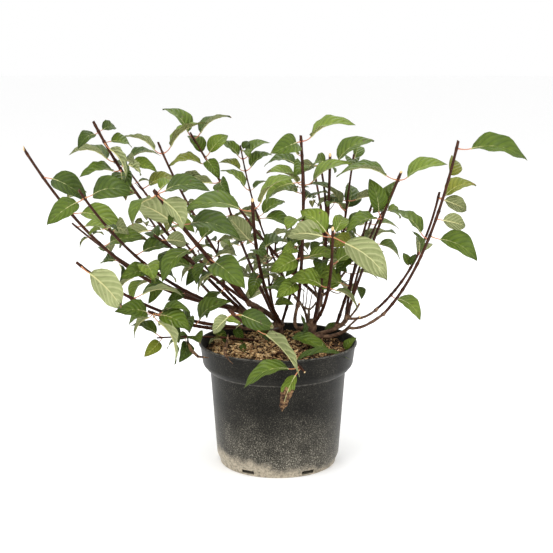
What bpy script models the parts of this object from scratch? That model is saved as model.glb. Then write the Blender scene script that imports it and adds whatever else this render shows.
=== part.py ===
"""Potted shrub dogwood, pruned back, in a five litre black nursery pot.

The origin is the middle of the pot's flat underside. X points right and Y points away from
the viewer, as the plant was photographed, and +Z is up. Lengths in this file are millimetres,
and each mesh is made in metres. Headings are degrees in plan: 0 is right, 90 is away from the
viewer, 180 is left and 270 is towards the viewer. A rise is degrees above the level.
"""
import math
import random
from collections import namedtuple

import bpy
import bmesh
from mathutils import Matrix, Vector
from mathutils.bvhtree import BVHTree

MM = 0.001
GAP = 0.3
NEAR = 0.0005
UP = Vector((0.0, 0.0, 1.0))

# Pot
POT_SIDES = 36
POT_HEIGHT = 180.0
LIP_RADIUS = 115.0
LIP_DEPTH = 4.0
BAND_TOP_RADIUS = 114.0
BAND_FOOT_RADIUS = 109.5
BAND_FOOT = 151.0
SHOULDER_RADIUS = 99.0
SHOULDER_FOOT = 138.0
BODY_FOOT_RADIUS = 89.5
BODY_FOOT = 14.0
FOOT_RADIUS = 85.0
FOOT_HEIGHT = 5.0
WALL = 2.0
SLOT_COUNT = 6
SLOT_WIDTH = 20.0
SLOT_HEIGHT = 6.0
SLOT_FIRST_HEADING = 0.0
SLOT_DEPTH = 12.0

# Growing medium, a low mound that lies below the lip
SOIL_EDGE = 163.0
SOIL_TOP = 168.0
SOIL_FLAT_RADIUS = 82.0
SOIL_SIDES = 24
SOIL_FLAT_SHIFT = Vector((0.0, 8.0, 0.0))

# Woody limbs
LIMB_SIDES = 7
LIMB_STEPS = 5
SHOOT_SIDES = 5
SHOOT_STEPS = 5
TWIG_SIDES = 3
TWIG_STEPS = 2

# Leaves
LEAF_HALF_WIDTH = 0.25
LEAF_THICKNESS = 0.014
LEAF_ARCH = 0.10
LEAF_FOLD = 0.08
LEAF_TIP_DROP = 0.12
WIDEST_AT = 0.42
PETIOLE_SHARE = 0.20
PETIOLE_RADIUS = 0.75
SINKS = (0.10, 0.16, 0.04)
SINK_STEP = 0.03
STALK_FACES = 4
LEAF_CLEARANCE = 0.9
TRIES = 9
SPROUT_LIFT = 2.6
SPROUT_RADIUS_SHARE = 0.8
SPROUT_LEAF_SHARE = 0.62
TIP_BARE = 8.0
BARE_ABOVE = 0.85
LEAF_TILT = 24.0
TILT_SPREAD = 30.0
CROWN_AXIS = Vector((10.0, 50.0, 0.0))

# The rule for leaves that don't show plainly, and for side sprouts
TURN_SPREAD = 14
LEAN_OUT = 0.86
LEAN_UP = (0.15, 0.5)
LEVEL_LEAST = 0.3
CLIMB_SHARE = 0.45
DROOP = 34
STEEPEST_HANG = 75.0
WANDER_FIRST = 14
WANDER_STEP = 5
WANDER_RISE_SHARE = 0.7
SIZE_SPREAD = (0.85, 1.12)
SHRINK_STEP = 0.03
SHOWN_WANDER_STEP = 3.0
SHOWN_SHRINK_STEP = 0.02
FOOT_LEAF_SHARE = 0.72
SIZE_SWELL = 0.30
SPROUT_TURN_SPREAD = 20
SPROUT_REACH = (14, 24)

Limb = namedtuple("Limb", "name carrier start middle end start_radius end_radius")
Shoot = namedtuple("Shoot", "name carrier start middle end radii pairs first length turn sprouts")
Leaf = namedtuple("Leaf", "along heading rise length roll")
Standing = namedtuple("Standing", "whole blade owner limb")

# The two stools, each with the heights of its rings above the ground, their shift and radius
STOOLS = {
    "stool_right": (Vector((47.0, 38.0, 0.0)), (
        (0.0, 0.0, 0.0, 11.5), (5.0, 0.6, 0.0, 9.4), (13.0, 1.8, 0.4, 8.2),
        (23.0, 3.4, 0.8, 7.4), (31.0, 4.6, 1.0, 6.6), (35.0, 5.0, 1.2, 4.6))),
    "stool_left": (Vector((-1.0, 76.0, 0.0)), (
        (0.0, 0.0, 0.0, 11.5), (5.0, 0.0, 0.0, 9.6), (12.0, 0.4, 0.0, 8.8),
        (19.0, 1.0, 0.0, 8.2), (23.0, 1.4, 0.0, 5.5))),
}
STOOL_SIDES = 14
STOOL_LOBES = 5
STOOL_LOBE_DEPTH = 0.13

# Old boughs and pruned stubs: name, what carries it, start, middle, end and the two radii
LIMBS = (
    Limb("arm_right_front", "stool_right", (51, 35, 178), (82, 23, 181), (104, 14, 196), 3.1, 2.7),
    Limb("arm_right_back", "stool_right", (52, 42, 178), (86, 47, 186), (103, 45, 203), 3.0, 3.8),
    Limb("bough_sweep_front", "arm_right_front", (103, 14, 196), (124, 7, 199), (153, 0, 219),
         2.4, 2.2),
    Limb("bough_sweep_back", "arm_right_back", (102, 46, 202), (127, 52, 202), (147, 56, 213),
         2.2, 2.0),
    Limb("bough_bend_left", "stool_right", (49, 36, 196), (27, 21, 195), (29, 17, 228), 3.3, 2.6),
    Limb("bough_left", "stool_left", (-4, 78, 179), (-54, 73, 206), (-110, 58, 224), 5.0, 4.2),
    Limb("bough_low_left", "stool_left", (-3, 71, 174), (-50, 48, 186), (-96, 20, 193), 3.2, 2.6),
    Limb("bough_left_upper", "stool_left", (-1, 77, 190), (-22, 56, 212), (-42, 28, 229), 4.2, 3.8),
    Limb("stump_back", "stool_right", (53, 44, 190), (59, 61, 211), (64, 70, 235), 3.8, 4.2),
    Limb("branch_back", "stump_back", (64, 70, 229), (83, 82, 242), (102, 95, 263), 2.3, 1.8),
    Limb("fork_dead", "stool_right", (44, 41, 195), (38, 60, 215), (22, 84, 232), 2.2, 1.9),
    Limb("stub_right_back", "arm_right_back", (104, 42, 202), (113, 33, 215), (120, 27, 229),
         1.9, 1.7),
    Limb("stub_right_front", "arm_right_front", (98, 15, 191), (107, 2, 204), (118, -8, 217),
         1.8, 1.6),
)

# Leafy shoots: name, carrier, start, middle, end, radii at foot and tip, pairs of leaves, where
# the first pair stands, length of a full leaf, turn of the first pair, and pairs with side sprouts
SHOOTS = (
    Shoot("shoot_right_1", "arm_right_back", (101, 42, 204), (135, 25, 312), (175, 4, 425),
          (2.1, 2.0), 3, 0.42, 66, 10, 0),
    Shoot("shoot_right_2", "arm_right_back", (105, 48, 204), (126, 60, 291), (161, 72, 369),
          (2.0, 1.5), 3, 0.50, 52, 60, 0),
    Shoot("shoot_right_3", "bough_sweep_front", (153, 0, 219), (209, -12, 318), (251, -24, 472),
          (2.2, 2.0), 3, 0.40, 64, 0, 0),
    Shoot("shoot_right_4", "bough_sweep_back", (147, 56, 213), (204, 64, 286), (239, 70, 388),
          (2.0, 1.8), 3, 0.30, 52, 80, 0),
    Shoot("shoot_middle_1", "stool_left", (6, 72, 186), (-24, 34, 270), (-36, -14, 387),
          (2.9, 2.3), 3, 0.40, 70, 20, 1),
    Shoot("shoot_middle_2", "bough_bend_left", (29, 17, 228), (36, 4, 350), (32, -8, 478),
          (2.6, 2.0), 4, 0.30, 68, 5, 1),
    Shoot("shoot_middle_3", "stool_left", (5, 81, 183), (34, 57, 316), (36, 54, 438),
          (2.3, 1.5), 4, 0.30, 60, 70, 1),
    Shoot("shoot_middle_4", "stool_right", (54, 40, 196), (70, 49, 310), (76, 54, 444),
          (2.5, 2.1), 3, 0.42, 64, 40, 1),
    Shoot("shoot_middle_5", "stump_back", (61, 68, 231), (73, 93, 336), (62, 110, 431),
          (2.4, 1.6), 3, 0.36, 58, 100, 1),
    Shoot("shoot_middle_6", "stool_right", (51, 33, 197), (72, 8, 248), (77, -30, 349),
          (2.7, 2.1), 3, 0.56, 74, 20, 0),
    Shoot("shoot_middle_7", "branch_back", (93, 89, 252), (101, 96, 341), (114, 107, 440),
          (2.0, 1.5), 3, 0.36, 60, 60, 1),
    Shoot("shoot_middle_8", "arm_right_back", (101, 49, 201), (115, 67, 277), (141, 91, 367),
          (2.1, 1.7), 3, 0.54, 56, 20, 0),
    Shoot("shoot_left_1", "bough_left", (-110, 58, 224), (-243, 36, 300), (-362, 16, 457),
          (2.9, 1.9), 4, 0.36, 60, 70, 0),
    Shoot("shoot_left_2", "bough_left", (-103, 62, 223), (-212, 90, 266), (-313, 116, 334),
          (2.2, 1.5), 3, 0.40, 56, 20, 0),
    Shoot("shoot_left_3", "bough_left", (-70, 64, 213), (-180, -12, 287), (-273, -64, 408),
          (2.7, 1.8), 4, 0.34, 62, 50, 0),
    Shoot("shoot_left_4", "bough_low_left", (-56, 44, 189), (-170, -36, 233), (-273, -104, 315),
          (2.6, 2.0), 3, 0.34, 66, 0, 0),
    Shoot("shoot_left_5", "bough_left", (-54, 70, 208), (-172, 18, 350), (-256, -26, 499),
          (2.8, 1.9), 4, 0.36, 60, 30, 0),
    Shoot("shoot_left_6", "bough_left", (-44, 73, 203), (-150, 122, 312), (-249, 150, 439),
          (2.2, 1.4), 4, 0.34, 58, 10, 1),
    Shoot("shoot_left_7", "bough_left_upper", (-42, 28, 229), (-110, -42, 325), (-167, -96, 412),
          (3.5, 2.5), 4, 0.30, 70, 0, 1),
    Shoot("shoot_left_8", "bough_left_upper", (-24, 48, 212), (-98, 18, 272), (-175, -24, 339),
          (2.6, 1.8), 3, 0.36, 62, 60, 1),
    Shoot("shoot_left_9", "bough_left", (-27, 75, 195), (-121, 106, 338), (-181, 124, 457),
          (2.4, 1.6), 4, 0.32, 58, 40, 1),
    Shoot("shoot_left_10", "stump_back", (60, 72, 230), (-38, 110, 330), (-134, 150, 469),
          (2.6, 1.5), 4, 0.32, 58, 80, 1),
    Shoot("shoot_left_11", "fork_dead", (22, 84, 232), (-26, 130, 328), (-58, 168, 448),
          (1.9, 1.1), 4, 0.30, 44, 20, 0),
    Shoot("shoot_low_left_1", "bough_low_left", (-96, 20, 193), (-138, -20, 211),
          (-181, -60, 237), (2.5, 1.8), 2, 0.55, 62, 30, 0),
    Shoot("shoot_low_left_2", "soil", (-10, 48, 163), (-88, -2, 185), (-169, -70, 201),
          (1.9, 1.1), 3, 0.45, 46, 70, 0),
    Shoot("shoot_front_1", "stool_left", (1, 68, 181), (-33, -92, 222), (-66, -132, 256),
          (2.8, 2.4), 2, 0.50, 52, 60, 0),
    Shoot("shoot_front_2", "soil", (-4, -46, 165), (8, -98, 186), (36, -140, 171),
          (1.7, 1.4), 0, 0.80, 60, 0, 0),
    Shoot("shoot_back_1", "stump_back", (64, 68, 218), (72, 156, 300), (60, 236, 392),
          (2.6, 1.7), 4, 0.34, 62, 30, 2),
    Shoot("shoot_back_2", "arm_right_back", (86, 48, 187), (118, 120, 260), (148, 190, 328),
          (2.6, 1.7), 4, 0.36, 62, 70, 2),
    Shoot("shoot_back_3", "stool_left", (-1, 82, 187), (-52, 160, 284), (-92, 238, 382),
          (2.6, 1.7), 4, 0.34, 62, 10, 2),
    Shoot("shoot_back_4", "bough_left", (-84, 68, 216), (-158, 148, 280), (-222, 216, 352),
          (2.4, 1.6), 4, 0.34, 60, 50, 2),
    Shoot("shoot_back_5", "stool_left", (1, 84, 175), (-14, 156, 236), (-16, 238, 296),
          (2.4, 1.6), 3, 0.42, 62, 40, 2),
)

# Leaves that show plainly: share along the shoot, heading, rise, length with its stalk, and how
# far the upper face is rolled towards the viewer, or away from the viewer below nought
SHOWN = {
    "shoot_right_1": (
        (0.95, 190, 10, 90, 12), (0.95, 345, 25, 74, 28), (0.70, 215, -10, 66, 18),
        (0.70, 165, 75, 60, 60), (0.70, 35, 65, 62, 10), (0.54, 10, -30, 50, 30)),
    "shoot_right_3": (
        (0.98, 355, -5, 100, 36), (0.84, 70, 35, 56, 40), (0.66, 325, -5, 50, -88),
        (0.57, 350, -25, 76, 40), (0.55, 150, 35, 72, 5), (0.45, 115, 70, 40, -45)),
    "shoot_right_4": (
        (0.96, 10, 25, 62, 26), (0.96, 325, -15, 52, -88), (0.43, 120, 55, 28, 20),
        (0.43, 30, 60, 26, 20), (0.17, 350, -35, 58, 24)),
    "shoot_middle_1": (
        (0.94, 185, 5, 98, 24), (0.95, 335, 45, 78, 20), (0.72, 200, 50, 64, -80),
        (0.23, 335, 10, 36, 40)),
    "shoot_middle_2": (
        (0.98, 340, 25, 82, 20), (0.98, 230, -10, 62, 60), (0.89, 220, 20, 42, 36),
        (0.16, 220, -25, 48, 50)),
    "shoot_middle_3": (
        (0.84, 340, 30, 82, 30), (0.84, 210, 25, 66, 20), (0.96, 155, 5, 64, 16),
        (0.79, 150, -5, 56, 10)),
    "shoot_middle_4": (
        (0.96, 125, -10, 46, 36), (0.95, 5, 35, 74, 24)),
    "shoot_middle_6": (
        (0.96, 205, 8, 74, -70), (0.95, 345, -36, 98, -84), (0.95, 150, 30, 68, 50),
        (0.96, 65, 30, 52, 30)),
    "shoot_middle_7": (
        (0.58, 205, 45, 76, 5), (0.56, 75, 45, 64, 40), (0.95, 75, 30, 50, 40),
        (0.43, 40, 15, 60, 30)),
    "shoot_middle_8": (
        (0.66, 225, 10, 62, 30), (0.62, 215, -35, 50, 30), (0.32, 165, 15, 76, 60)),
    "shoot_left_1": (
        (0.89, 350, -25, 72, 45), (0.73, 350, -15, 80, 28),
        (0.55, 345, 15, 68, 42), (0.46, 135, -10, 46, 36), (0.46, 290, -60, 32, -60)),
    "shoot_left_2": ((0.97, 5, -15, 62, 15),),
    "shoot_left_3": (
        (0.96, 345, 10, 74, 50), (0.96, 220, -25, 66, 40), (0.61, 25, 10, 66, 32),
        (0.48, 225, 5, 62, 26), (0.48, 45, -25, 46, 30), (0.48, 265, -55, 48, 45),
        (0.28, 220, -10, 34, 45)),
    "shoot_left_4": ((0.97, 330, -35, 88, -90),),
    "shoot_left_5": (
        (0.95, 225, -25, 40, 30), (0.95, 55, 10, 36, 40), (0.90, 35, -10, 46, 44),
        (0.90, 320, -50, 70, -50), (0.81, 160, 15, 74, -8), (0.77, 210, 0, 62, 20)),
    "shoot_left_6": (
        (0.94, 15, 15, 60, 10), (0.93, 310, -15, 50, -60), (0.92, 340, -10, 54, 35),
        (0.79, 15, 15, 60, 30)),
    "shoot_left_7": (
        (0.97, 340, 10, 76, 40), (0.96, 322, -38, 72, -92), (0.69, 195, 30, 74, -70),
        (0.70, 340, -5, 88, 30), (0.40, 310, -20, 84, 38)),
    "shoot_left_8": (
        (0.94, 330, 0, 46, -80), (0.94, 120, 10, 46, 30), (0.62, 210, 10, 66, 28),
        (0.62, 235, -40, 34, 40)),
    "shoot_left_9": ((0.92, 180, 30, 68, -12), (0.92, 0, 40, 82, 5)),
    "shoot_left_10": (
        (0.97, 155, 45, 70, 5), (0.97, 20, 35, 68, 5), (0.88, 140, 45, 50, 22),
        (0.88, 30, 45, 52, 36), (0.88, 310, -40, 44, 45), (0.85, 195, 5, 62, 20),
        (0.76, 290, -20, 52, 50)),
    "shoot_left_11": (
        (0.97, 55, 40, 24, 20), (0.92, 155, 40, 48, 20), (0.92, 30, 35, 54, 10),
        (0.85, 35, 30, 56, 10), (0.85, 165, 20, 46, 10), (0.73, 165, 40, 56, 14),
        (0.73, 30, 25, 34, 10), (0.56, 20, 30, 50, 28), (0.55, 345, -15, 56, 22)),
    "shoot_low_left_1": (
        (0.94, 220, 15, 60, 50), (0.94, 220, -35, 46, -30), (0.94, 310, -45, 86, -60),
        (0.92, 325, -20, 68, 28), (0.88, 340, 15, 52, 10), (0.94, 160, -25, 44, 30),
        (0.30, 345, 40, 66, 42), (0.30, 125, 15, 46, 44)),
    "shoot_low_left_2": (
        (0.97, 165, 20, 54, 14), (0.96, 225, -30, 38, 50), (0.77, 260, -45, 40, 50)),
    "shoot_front_1": (
        (0.92, 220, -30, 42, -88), (0.89, 345, -15, 58, 50), (0.49, 315, -25, 106, -50)),
    "shoot_front_2": ((0.90, 190, -10, 80, 10), (0.94, 215, -60, 64, 30)),
}

# Places of the rule, as pair and side, where the photo shows open sky
OPEN_PLACES = {
    "shoot_right_1": ("0 0", "1 1"),
    "shoot_right_2": ("1 1",),
    "shoot_right_3": ("0 0", "1 0", "2 0", "2 1"),
    "shoot_right_4": ("0 0", "0 1", "1 1", "2 1"),
    "shoot_middle_2": ("1 0", "2 0", "3 1"),
    "shoot_middle_3": ("2 1", "3 0"),
    "shoot_middle_4": ("1 0", "1 1"),
    "shoot_middle_5": ("1 0",),
    "shoot_middle_6": ("1 1",),
    "shoot_middle_8": ("0 0", "1 1", "2 0"),
    "shoot_left_1": ("1 0", "1 1", "2 0"),
    "shoot_left_2": ("1 1", "2 0", "2 1"),
    "shoot_left_3": ("0 0", "0 1", "1 1", "2 0"),
    "shoot_left_4": ("1 1", "2 0", "2 1"),
    "shoot_left_5": ("0 0", "1 1"),
    "shoot_left_6": ("2 0", "2 1"),
    "shoot_left_8": ("1 1",),
    "shoot_left_9": ("2 0",),
    "shoot_left_10": ("2 1", "3 1"),
    "shoot_back_1": ("2 0", "2 1", "3 0", "3 1"),
    "shoot_back_3": ("3 0", "3 1"),
    "shoot_back_4": ("0 1", "1 0", "1 1", "3 1"),
    "shoot_back_5": ("1 1",),
}


# Materials

def colour(code):
    """Linear colour of an sRGB hex code."""
    parts = [int(code[i:i + 2], 16) / 255 for i in (0, 2, 4)]
    return [c / 12.92 if c < 0.04045 else ((c + 0.055) / 1.055) ** 2.4 for c in parts] + [1.0]


def material(name, code, roughness):
    """Principled material with one colour."""
    made = bpy.data.materials.new(name)
    made.use_nodes = True
    shader = made.node_tree.nodes["Principled BSDF"]
    shader.inputs["Base Color"].default_value = colour(code)
    shader.inputs["Roughness"].default_value = roughness
    shader.inputs["Metallic"].default_value = 0.0
    made.diffuse_color = colour(code)
    return made


def dress(made, finish):
    """Gives a whole object one material."""
    made.data.materials.clear()
    made.data.materials.append(finish)
    made.data.polygons.foreach_set("material_index", [0] * len(made.data.polygons))


# Meshes

def new_object(name, points, faces):
    """Object of triangles whose mesh takes points in millimetres."""
    mesh = bpy.data.meshes.new(name)
    mesh.from_pydata([tuple(Vector(p) * MM) for p in points], [], faces)
    mesh.update()
    made = bpy.data.objects.new(name, mesh)
    bpy.context.scene.collection.objects.link(made)
    triangulate(made)
    return made


def loft(rings, close_start=True, close_end=True):
    """Points and outward faces of a body lofted through rings of equal count."""
    sides = len(rings[0])
    points = [p for ring in rings for p in ring]
    faces = []
    for r in range(len(rings) - 1):
        for s in range(sides):
            t = (s + 1) % sides
            a, b = r * sides + s, r * sides + t
            faces.append((a, b, b + sides, a + sides))
    if close_start:
        faces.append(tuple(reversed(range(sides))))
    if close_end:
        last = (len(rings) - 1) * sides
        faces.append(tuple(last + s for s in range(sides)))
    return points, faces


def turned(profile, sides):
    """Closed body of a closed profile of (radius, height), turned about Z."""
    count = len(profile)
    points, faces = [], []
    for s in range(sides):
        a = 2 * math.pi * s / sides
        points += [(r * math.cos(a), r * math.sin(a), z) for r, z in profile]
    for s in range(sides):
        t = (s + 1) % sides
        for i in range(count):
            j = (i + 1) % count
            faces.append((s * count + i, t * count + i, t * count + j, s * count + j))
    return points, faces


def join_axis_points(made):
    """Merges the points that a turned profile leaves on its axis, and faces outwards."""
    mesh = bmesh.new()
    mesh.from_mesh(made.data)
    bmesh.ops.remove_doubles(mesh, verts=mesh.verts, dist=0.00001)
    bmesh.ops.dissolve_degenerate(mesh, edges=mesh.edges, dist=0.000005)
    bmesh.ops.recalc_face_normals(mesh, faces=mesh.faces)
    mesh.to_mesh(made.data)
    mesh.free()


def smooth(made, degrees=40):
    """Smooth shading with sharp edges kept."""
    made.data.shade_smooth()
    made.data.set_sharp_from_angle(angle=math.radians(degrees))


def bodies_of(shape):
    """Separate bodies of a mesh, each a list of its points, the largest first."""
    waiting = set(shape.verts)
    bodies = []
    while waiting:
        reached = [waiting.pop()]
        body = []
        while reached:
            point = reached.pop()
            body.append(point)
            for edge in point.link_edges:
                other = edge.other_vert(point)
                if other in waiting:
                    waiting.remove(other)
                    reached.append(other)
        bodies.append(body)
    return sorted(bodies, key=len, reverse=True)


def faults(mesh):
    """Places, in millimetres, where a mesh isn't one closed body once near points are merged."""
    shape = bmesh.new()
    shape.from_mesh(mesh)
    bmesh.ops.remove_doubles(shape, verts=shape.verts, dist=NEAR * MM)
    places = [edge.verts[0].co / MM for edge in shape.edges if len(edge.link_faces) != 2]
    places += [body[0].co / MM for body in bodies_of(shape)[1:]]
    shape.free()
    return places


def drop_scraps(made):
    """Keeps the largest body of a mesh."""
    shape = bmesh.new()
    shape.from_mesh(made.data)
    for body in bodies_of(shape)[1:]:
        bmesh.ops.delete(shape, geom=body, context="VERTS")
    shape.to_mesh(made.data)
    shape.free()


def triangulate(made):
    """Splits a mesh's faces into triangles."""
    shape = bmesh.new()
    shape.from_mesh(made.data)
    bmesh.ops.triangulate(shape, faces=shape.faces)
    shape.to_mesh(made.data)
    shape.free()


def boolean(made, operation, operand=None, collection=None, solver="EXACT"):
    """Applies one Boolean, with an object or with all of a collection."""
    cut = made.modifiers.new(operation.lower(), "BOOLEAN")
    cut.operation = operation
    cut.solver = solver
    if collection:
        cut.operand_type = "COLLECTION"
        cut.collection = collection
    else:
        cut.object = operand
    graph = bpy.context.evaluated_depsgraph_get()
    mesh = bpy.data.meshes.new_from_object(made.evaluated_get(graph))
    made.modifiers.remove(cut)
    old = made.data
    made.data = mesh
    mesh.name = made.name
    bpy.data.meshes.remove(old)
    triangulate(made)


def discard(made):
    """Removes a helper object and its mesh."""
    mesh = made.data
    bpy.data.objects.remove(made)
    bpy.data.meshes.remove(mesh)


# Paths of limbs and shoots

def path_point(row, t):
    """Point of a limb at share t of its curve, which passes its middle at one half."""
    start, middle, end = Vector(row.start), Vector(row.middle), Vector(row.end)
    control = 2 * middle - (start + end) / 2
    return (1 - t) ** 2 * start + 2 * t * (1 - t) * control + t * t * end


def path_direction(row, t):
    """Direction of a limb's curve at share t."""
    step = 0.01
    return (path_point(row, t + step) - path_point(row, t - step)).normalized()


def radii_of(row):
    """Radii of a limb or a shoot at its foot and its end."""
    if isinstance(row, Shoot):
        return row.radii
    return row.start_radius, row.end_radius


def radius_at(row, t):
    """Radius of a limb or a shoot at share t."""
    foot, end = radii_of(row)
    return foot * (1 - t) + end * t


def across(direction):
    """Level vector across a direction, and the one square to both."""
    side = direction.cross(UP)
    if side.length < 0.05:
        side = Vector((1.0, 0.0, 0.0))
    side.normalize()
    return side, side.cross(direction).normalized()


def tube_rings(row, sides, steps, grow=0.0):
    """Rings of a tapering limb, made wider and longer by grow for a cutter."""
    rings = []
    for i in range(steps + 1):
        t = i / steps
        centre, along = path_point(row, t), path_direction(row, t)
        if i == 0:
            centre = centre - along * grow
        if i == steps:
            centre = centre + along * grow
        side, top = across(along)
        radius = radius_at(row, t) + grow
        ring = []
        for s in range(sides):
            a = 2 * math.pi * s / sides
            ring.append(centre - side * math.cos(a) * radius + top * math.sin(a) * radius)
        rings.append(ring)
    return rings


def stool_rings(name, grow=0.0):
    """Rings of a lobed stool, flared at the ground."""
    foot, rows = STOOLS[name]
    rings = []
    for i, (height, shift_x, shift_y, radius) in enumerate(rows):
        lobes = STOOL_LOBE_DEPTH * (1 - 0.6 * i / (len(rows) - 1))
        z = SOIL_TOP + GAP + height
        if i == len(rows) - 1:
            z += grow
        ring = []
        for s in range(STOOL_SIDES):
            a = 2 * math.pi * s / STOOL_SIDES
            r = radius * (1 + lobes * math.cos(STOOL_LOBES * a + i * 0.25)) + grow
            ring.append((foot.x + shift_x + r * math.cos(a), foot.y + shift_y + r * math.sin(a), z))
        rings.append(ring)
    return rings


LIMB_BY_NAME = {limb.name: limb for limb in LIMBS}


def carrier_cutter(name):
    """Helper of what carries a limb, grown by the gap that separate solids keep."""
    if name in STOOLS:
        points, faces = loft(stool_rings(name, GAP))
    else:
        points, faces = loft(tube_rings(LIMB_BY_NAME[name], LIMB_SIDES, LIMB_STEPS, GAP))
    return new_object("cutter", points, faces)


def cope(made, carrier):
    """Cuts the foot of a limb to sit on what carries it."""
    cutter = carrier_cutter(carrier)
    boolean(made, "DIFFERENCE", cutter)
    discard(cutter)
    drop_scraps(made)


# Leaves

def direction_of(heading, rise):
    """Unit vector of a heading and a rise."""
    a, b = math.radians(heading), math.radians(rise)
    return Vector((math.cos(b) * math.cos(a), math.cos(b) * math.sin(a), math.sin(b)))


def leaf_frame(leaf_direction, roll):
    """Side and upper direction of a blade, rolled about its own length."""
    side, top = across(leaf_direction)
    turn = Matrix.Rotation(math.radians(roll), 3, leaf_direction)
    return turn @ side, turn @ top


def leaf_shape(row, leaf, grow=0.0, sink=0.0):
    """Closed leaf: a three sided stalk that widens into a folded, arched and pointed blade."""
    root = path_point(row, leaf.along)
    stem = path_direction(row, leaf.along)
    along = direction_of(leaf.heading, leaf.rise)
    side, top = leaf_frame(along, leaf.roll)
    blade = leaf.length * (1 - PETIOLE_SHARE)
    stalk = leaf.length * PETIOLE_SHARE
    out = (along - stem * along.dot(stem) * 0.4).normalized()
    foot = root + out * stalk + top * stalk * 0.15
    thick = leaf.length * LEAF_THICKNESS + grow
    wide = leaf.length * LEAF_HALF_WIDTH + grow
    stalk_radius = PETIOLE_RADIUS + grow

    def at(share, across_share, height):
        return foot + along * blade * share + side * across_share * wide + top * blade * height

    start = root + out * (sink * radius_at(row, leaf.along) + grow * 4)
    ring_root = [start + side * stalk_radius, start - top * stalk_radius, start - side * stalk_radius]
    ring_foot = [foot + side * stalk_radius * 1.2, foot - top * stalk_radius * 1.2,
                 foot - side * stalk_radius * 1.2]
    arch = LEAF_ARCH
    fold = LEAF_FOLD
    widest = [at(WIDEST_AT, 1.0, arch + fold), at(WIDEST_AT, 0.0, arch) - top * thick,
              at(WIDEST_AT, -1.0, arch + fold), at(WIDEST_AT, 0.0, arch) + top * grow]
    tip = at(1.0, 0.0, -LEAF_TIP_DROP) + along * grow
    points = ring_root + ring_foot + widest + [tip]
    faces = [
        (2, 1, 0),
        (1, 4, 3, 0), (2, 5, 4, 1), (0, 3, 5, 2),
        (4, 7, 6, 3), (5, 8, 7, 4), (9, 8, 5), (3, 9, 5), (6, 9, 3),
        (7, 10, 6), (8, 10, 7), (9, 10, 8), (6, 10, 9),
    ]
    return points, faces


def tree_of(points, faces):
    """Search tree of a shape, with its box."""
    lowest = Vector([min(p[i] for p in points) for i in range(3)])
    highest = Vector([max(p[i] for p in points) for i in range(3)])
    return BVHTree.FromPolygons([Vector(p) for p in points], faces), lowest, highest


def touches(one, other):
    """True where two shapes' surfaces meet."""
    for i in range(3):
        if one[1][i] > other[2][i] or other[1][i] > one[2][i]:
            return False
    return bool(one[0].overlap(other[0]))


def top_share(shoot):
    """Share of a shoot's curve at its top pair, a little below the pruned tip."""
    return 1 - TIP_BARE / (Vector(shoot.end) - Vector(shoot.start)).length


def node_share(shoot, pair):
    """Share of a shoot's curve at which a pair of leaves stands."""
    if shoot.pairs == 1:
        return shoot.first
    return shoot.first + (top_share(shoot) - shoot.first) * pair / (shoot.pairs - 1)


def shown_leaf(shoot, numbers, attempt):
    """One leaf that shows plainly, eased a little aside where it would touch something."""
    along, heading, rise, length, face = numbers
    draw = random.Random(f"{shoot.name} shown {along} {heading} {attempt}")
    wander = SHOWN_WANDER_STEP * attempt
    heading += draw.uniform(-wander, wander)
    rise += draw.uniform(-wander, wander)
    along = min(along, top_share(shoot))
    to_viewer = -1.0 if math.sin(math.radians(heading + 90)) < 0 else 1.0
    size = length * (1 - SHOWN_SHRINK_STEP * attempt)
    return Leaf(along, heading, rise, size, face * to_viewer)


def rule_leaf(shoot, key, along, turn, length, attempt):
    """One leaf by the rule: crosswise pairs that lean out, droop and turn their faces outwards."""
    draw = random.Random(f"{shoot.name} {key} {attempt}")
    stem = path_direction(shoot, along)
    side, top = across(stem)
    angle = math.radians(turn + draw.uniform(-TURN_SPREAD, TURN_SPREAD))
    out = side * math.cos(angle) + top * math.sin(angle)
    lean = out * LEAN_OUT + stem * draw.uniform(*LEAN_UP)
    level = math.hypot(lean.x, lean.y)
    heading = math.degrees(math.atan2(lean.y, lean.x))
    climb = math.degrees(math.atan2(lean.z, max(level, LEVEL_LEAST)))
    rise = climb * CLIMB_SHARE - draw.uniform(0, DROOP)
    wander = 0 if attempt == 0 else WANDER_FIRST + WANDER_STEP * attempt
    heading += draw.uniform(-wander, wander)
    rise = max(-STEEPEST_HANG, rise + draw.uniform(-wander, wander) * WANDER_RISE_SHARE)
    size = length * draw.uniform(*SIZE_SPREAD) * (1 - SHRINK_STEP * attempt)
    outward = path_point(shoot, along) - CROWN_AXIS
    outward.z = 0.0
    blade_side = across(direction_of(heading, rise))[0]
    tilt = LEAF_TILT * blade_side.dot(outward.normalized())
    tilt += draw.uniform(-TILT_SPREAD, TILT_SPREAD)
    return Leaf(along, heading, rise, size, tilt)


def shown_near(shoot, along, heading):
    """True where a plainly seen leaf already stands, or the tip shows bare above such leaves."""
    rows = SHOWN.get(shoot.name, ())
    if rows and BARE_ABOVE < max(row[0] for row in rows) < along - 0.01:
        return True
    for row in rows:
        turned = abs((row[1] - heading + 180) % 360 - 180)
        if abs(row[0] - along) < 0.06 and turned < 75:
            return True
    return False


def leaf_size(shoot, pair):
    """Length of the leaves of a pair: smaller at the foot and just below the tip."""
    share = pair / max(shoot.pairs - 1, 1)
    swell = math.sin(math.pi * (0.15 + 0.75 * share))
    return shoot.length * (FOOT_LEAF_SHARE + SIZE_SWELL * swell)


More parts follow.
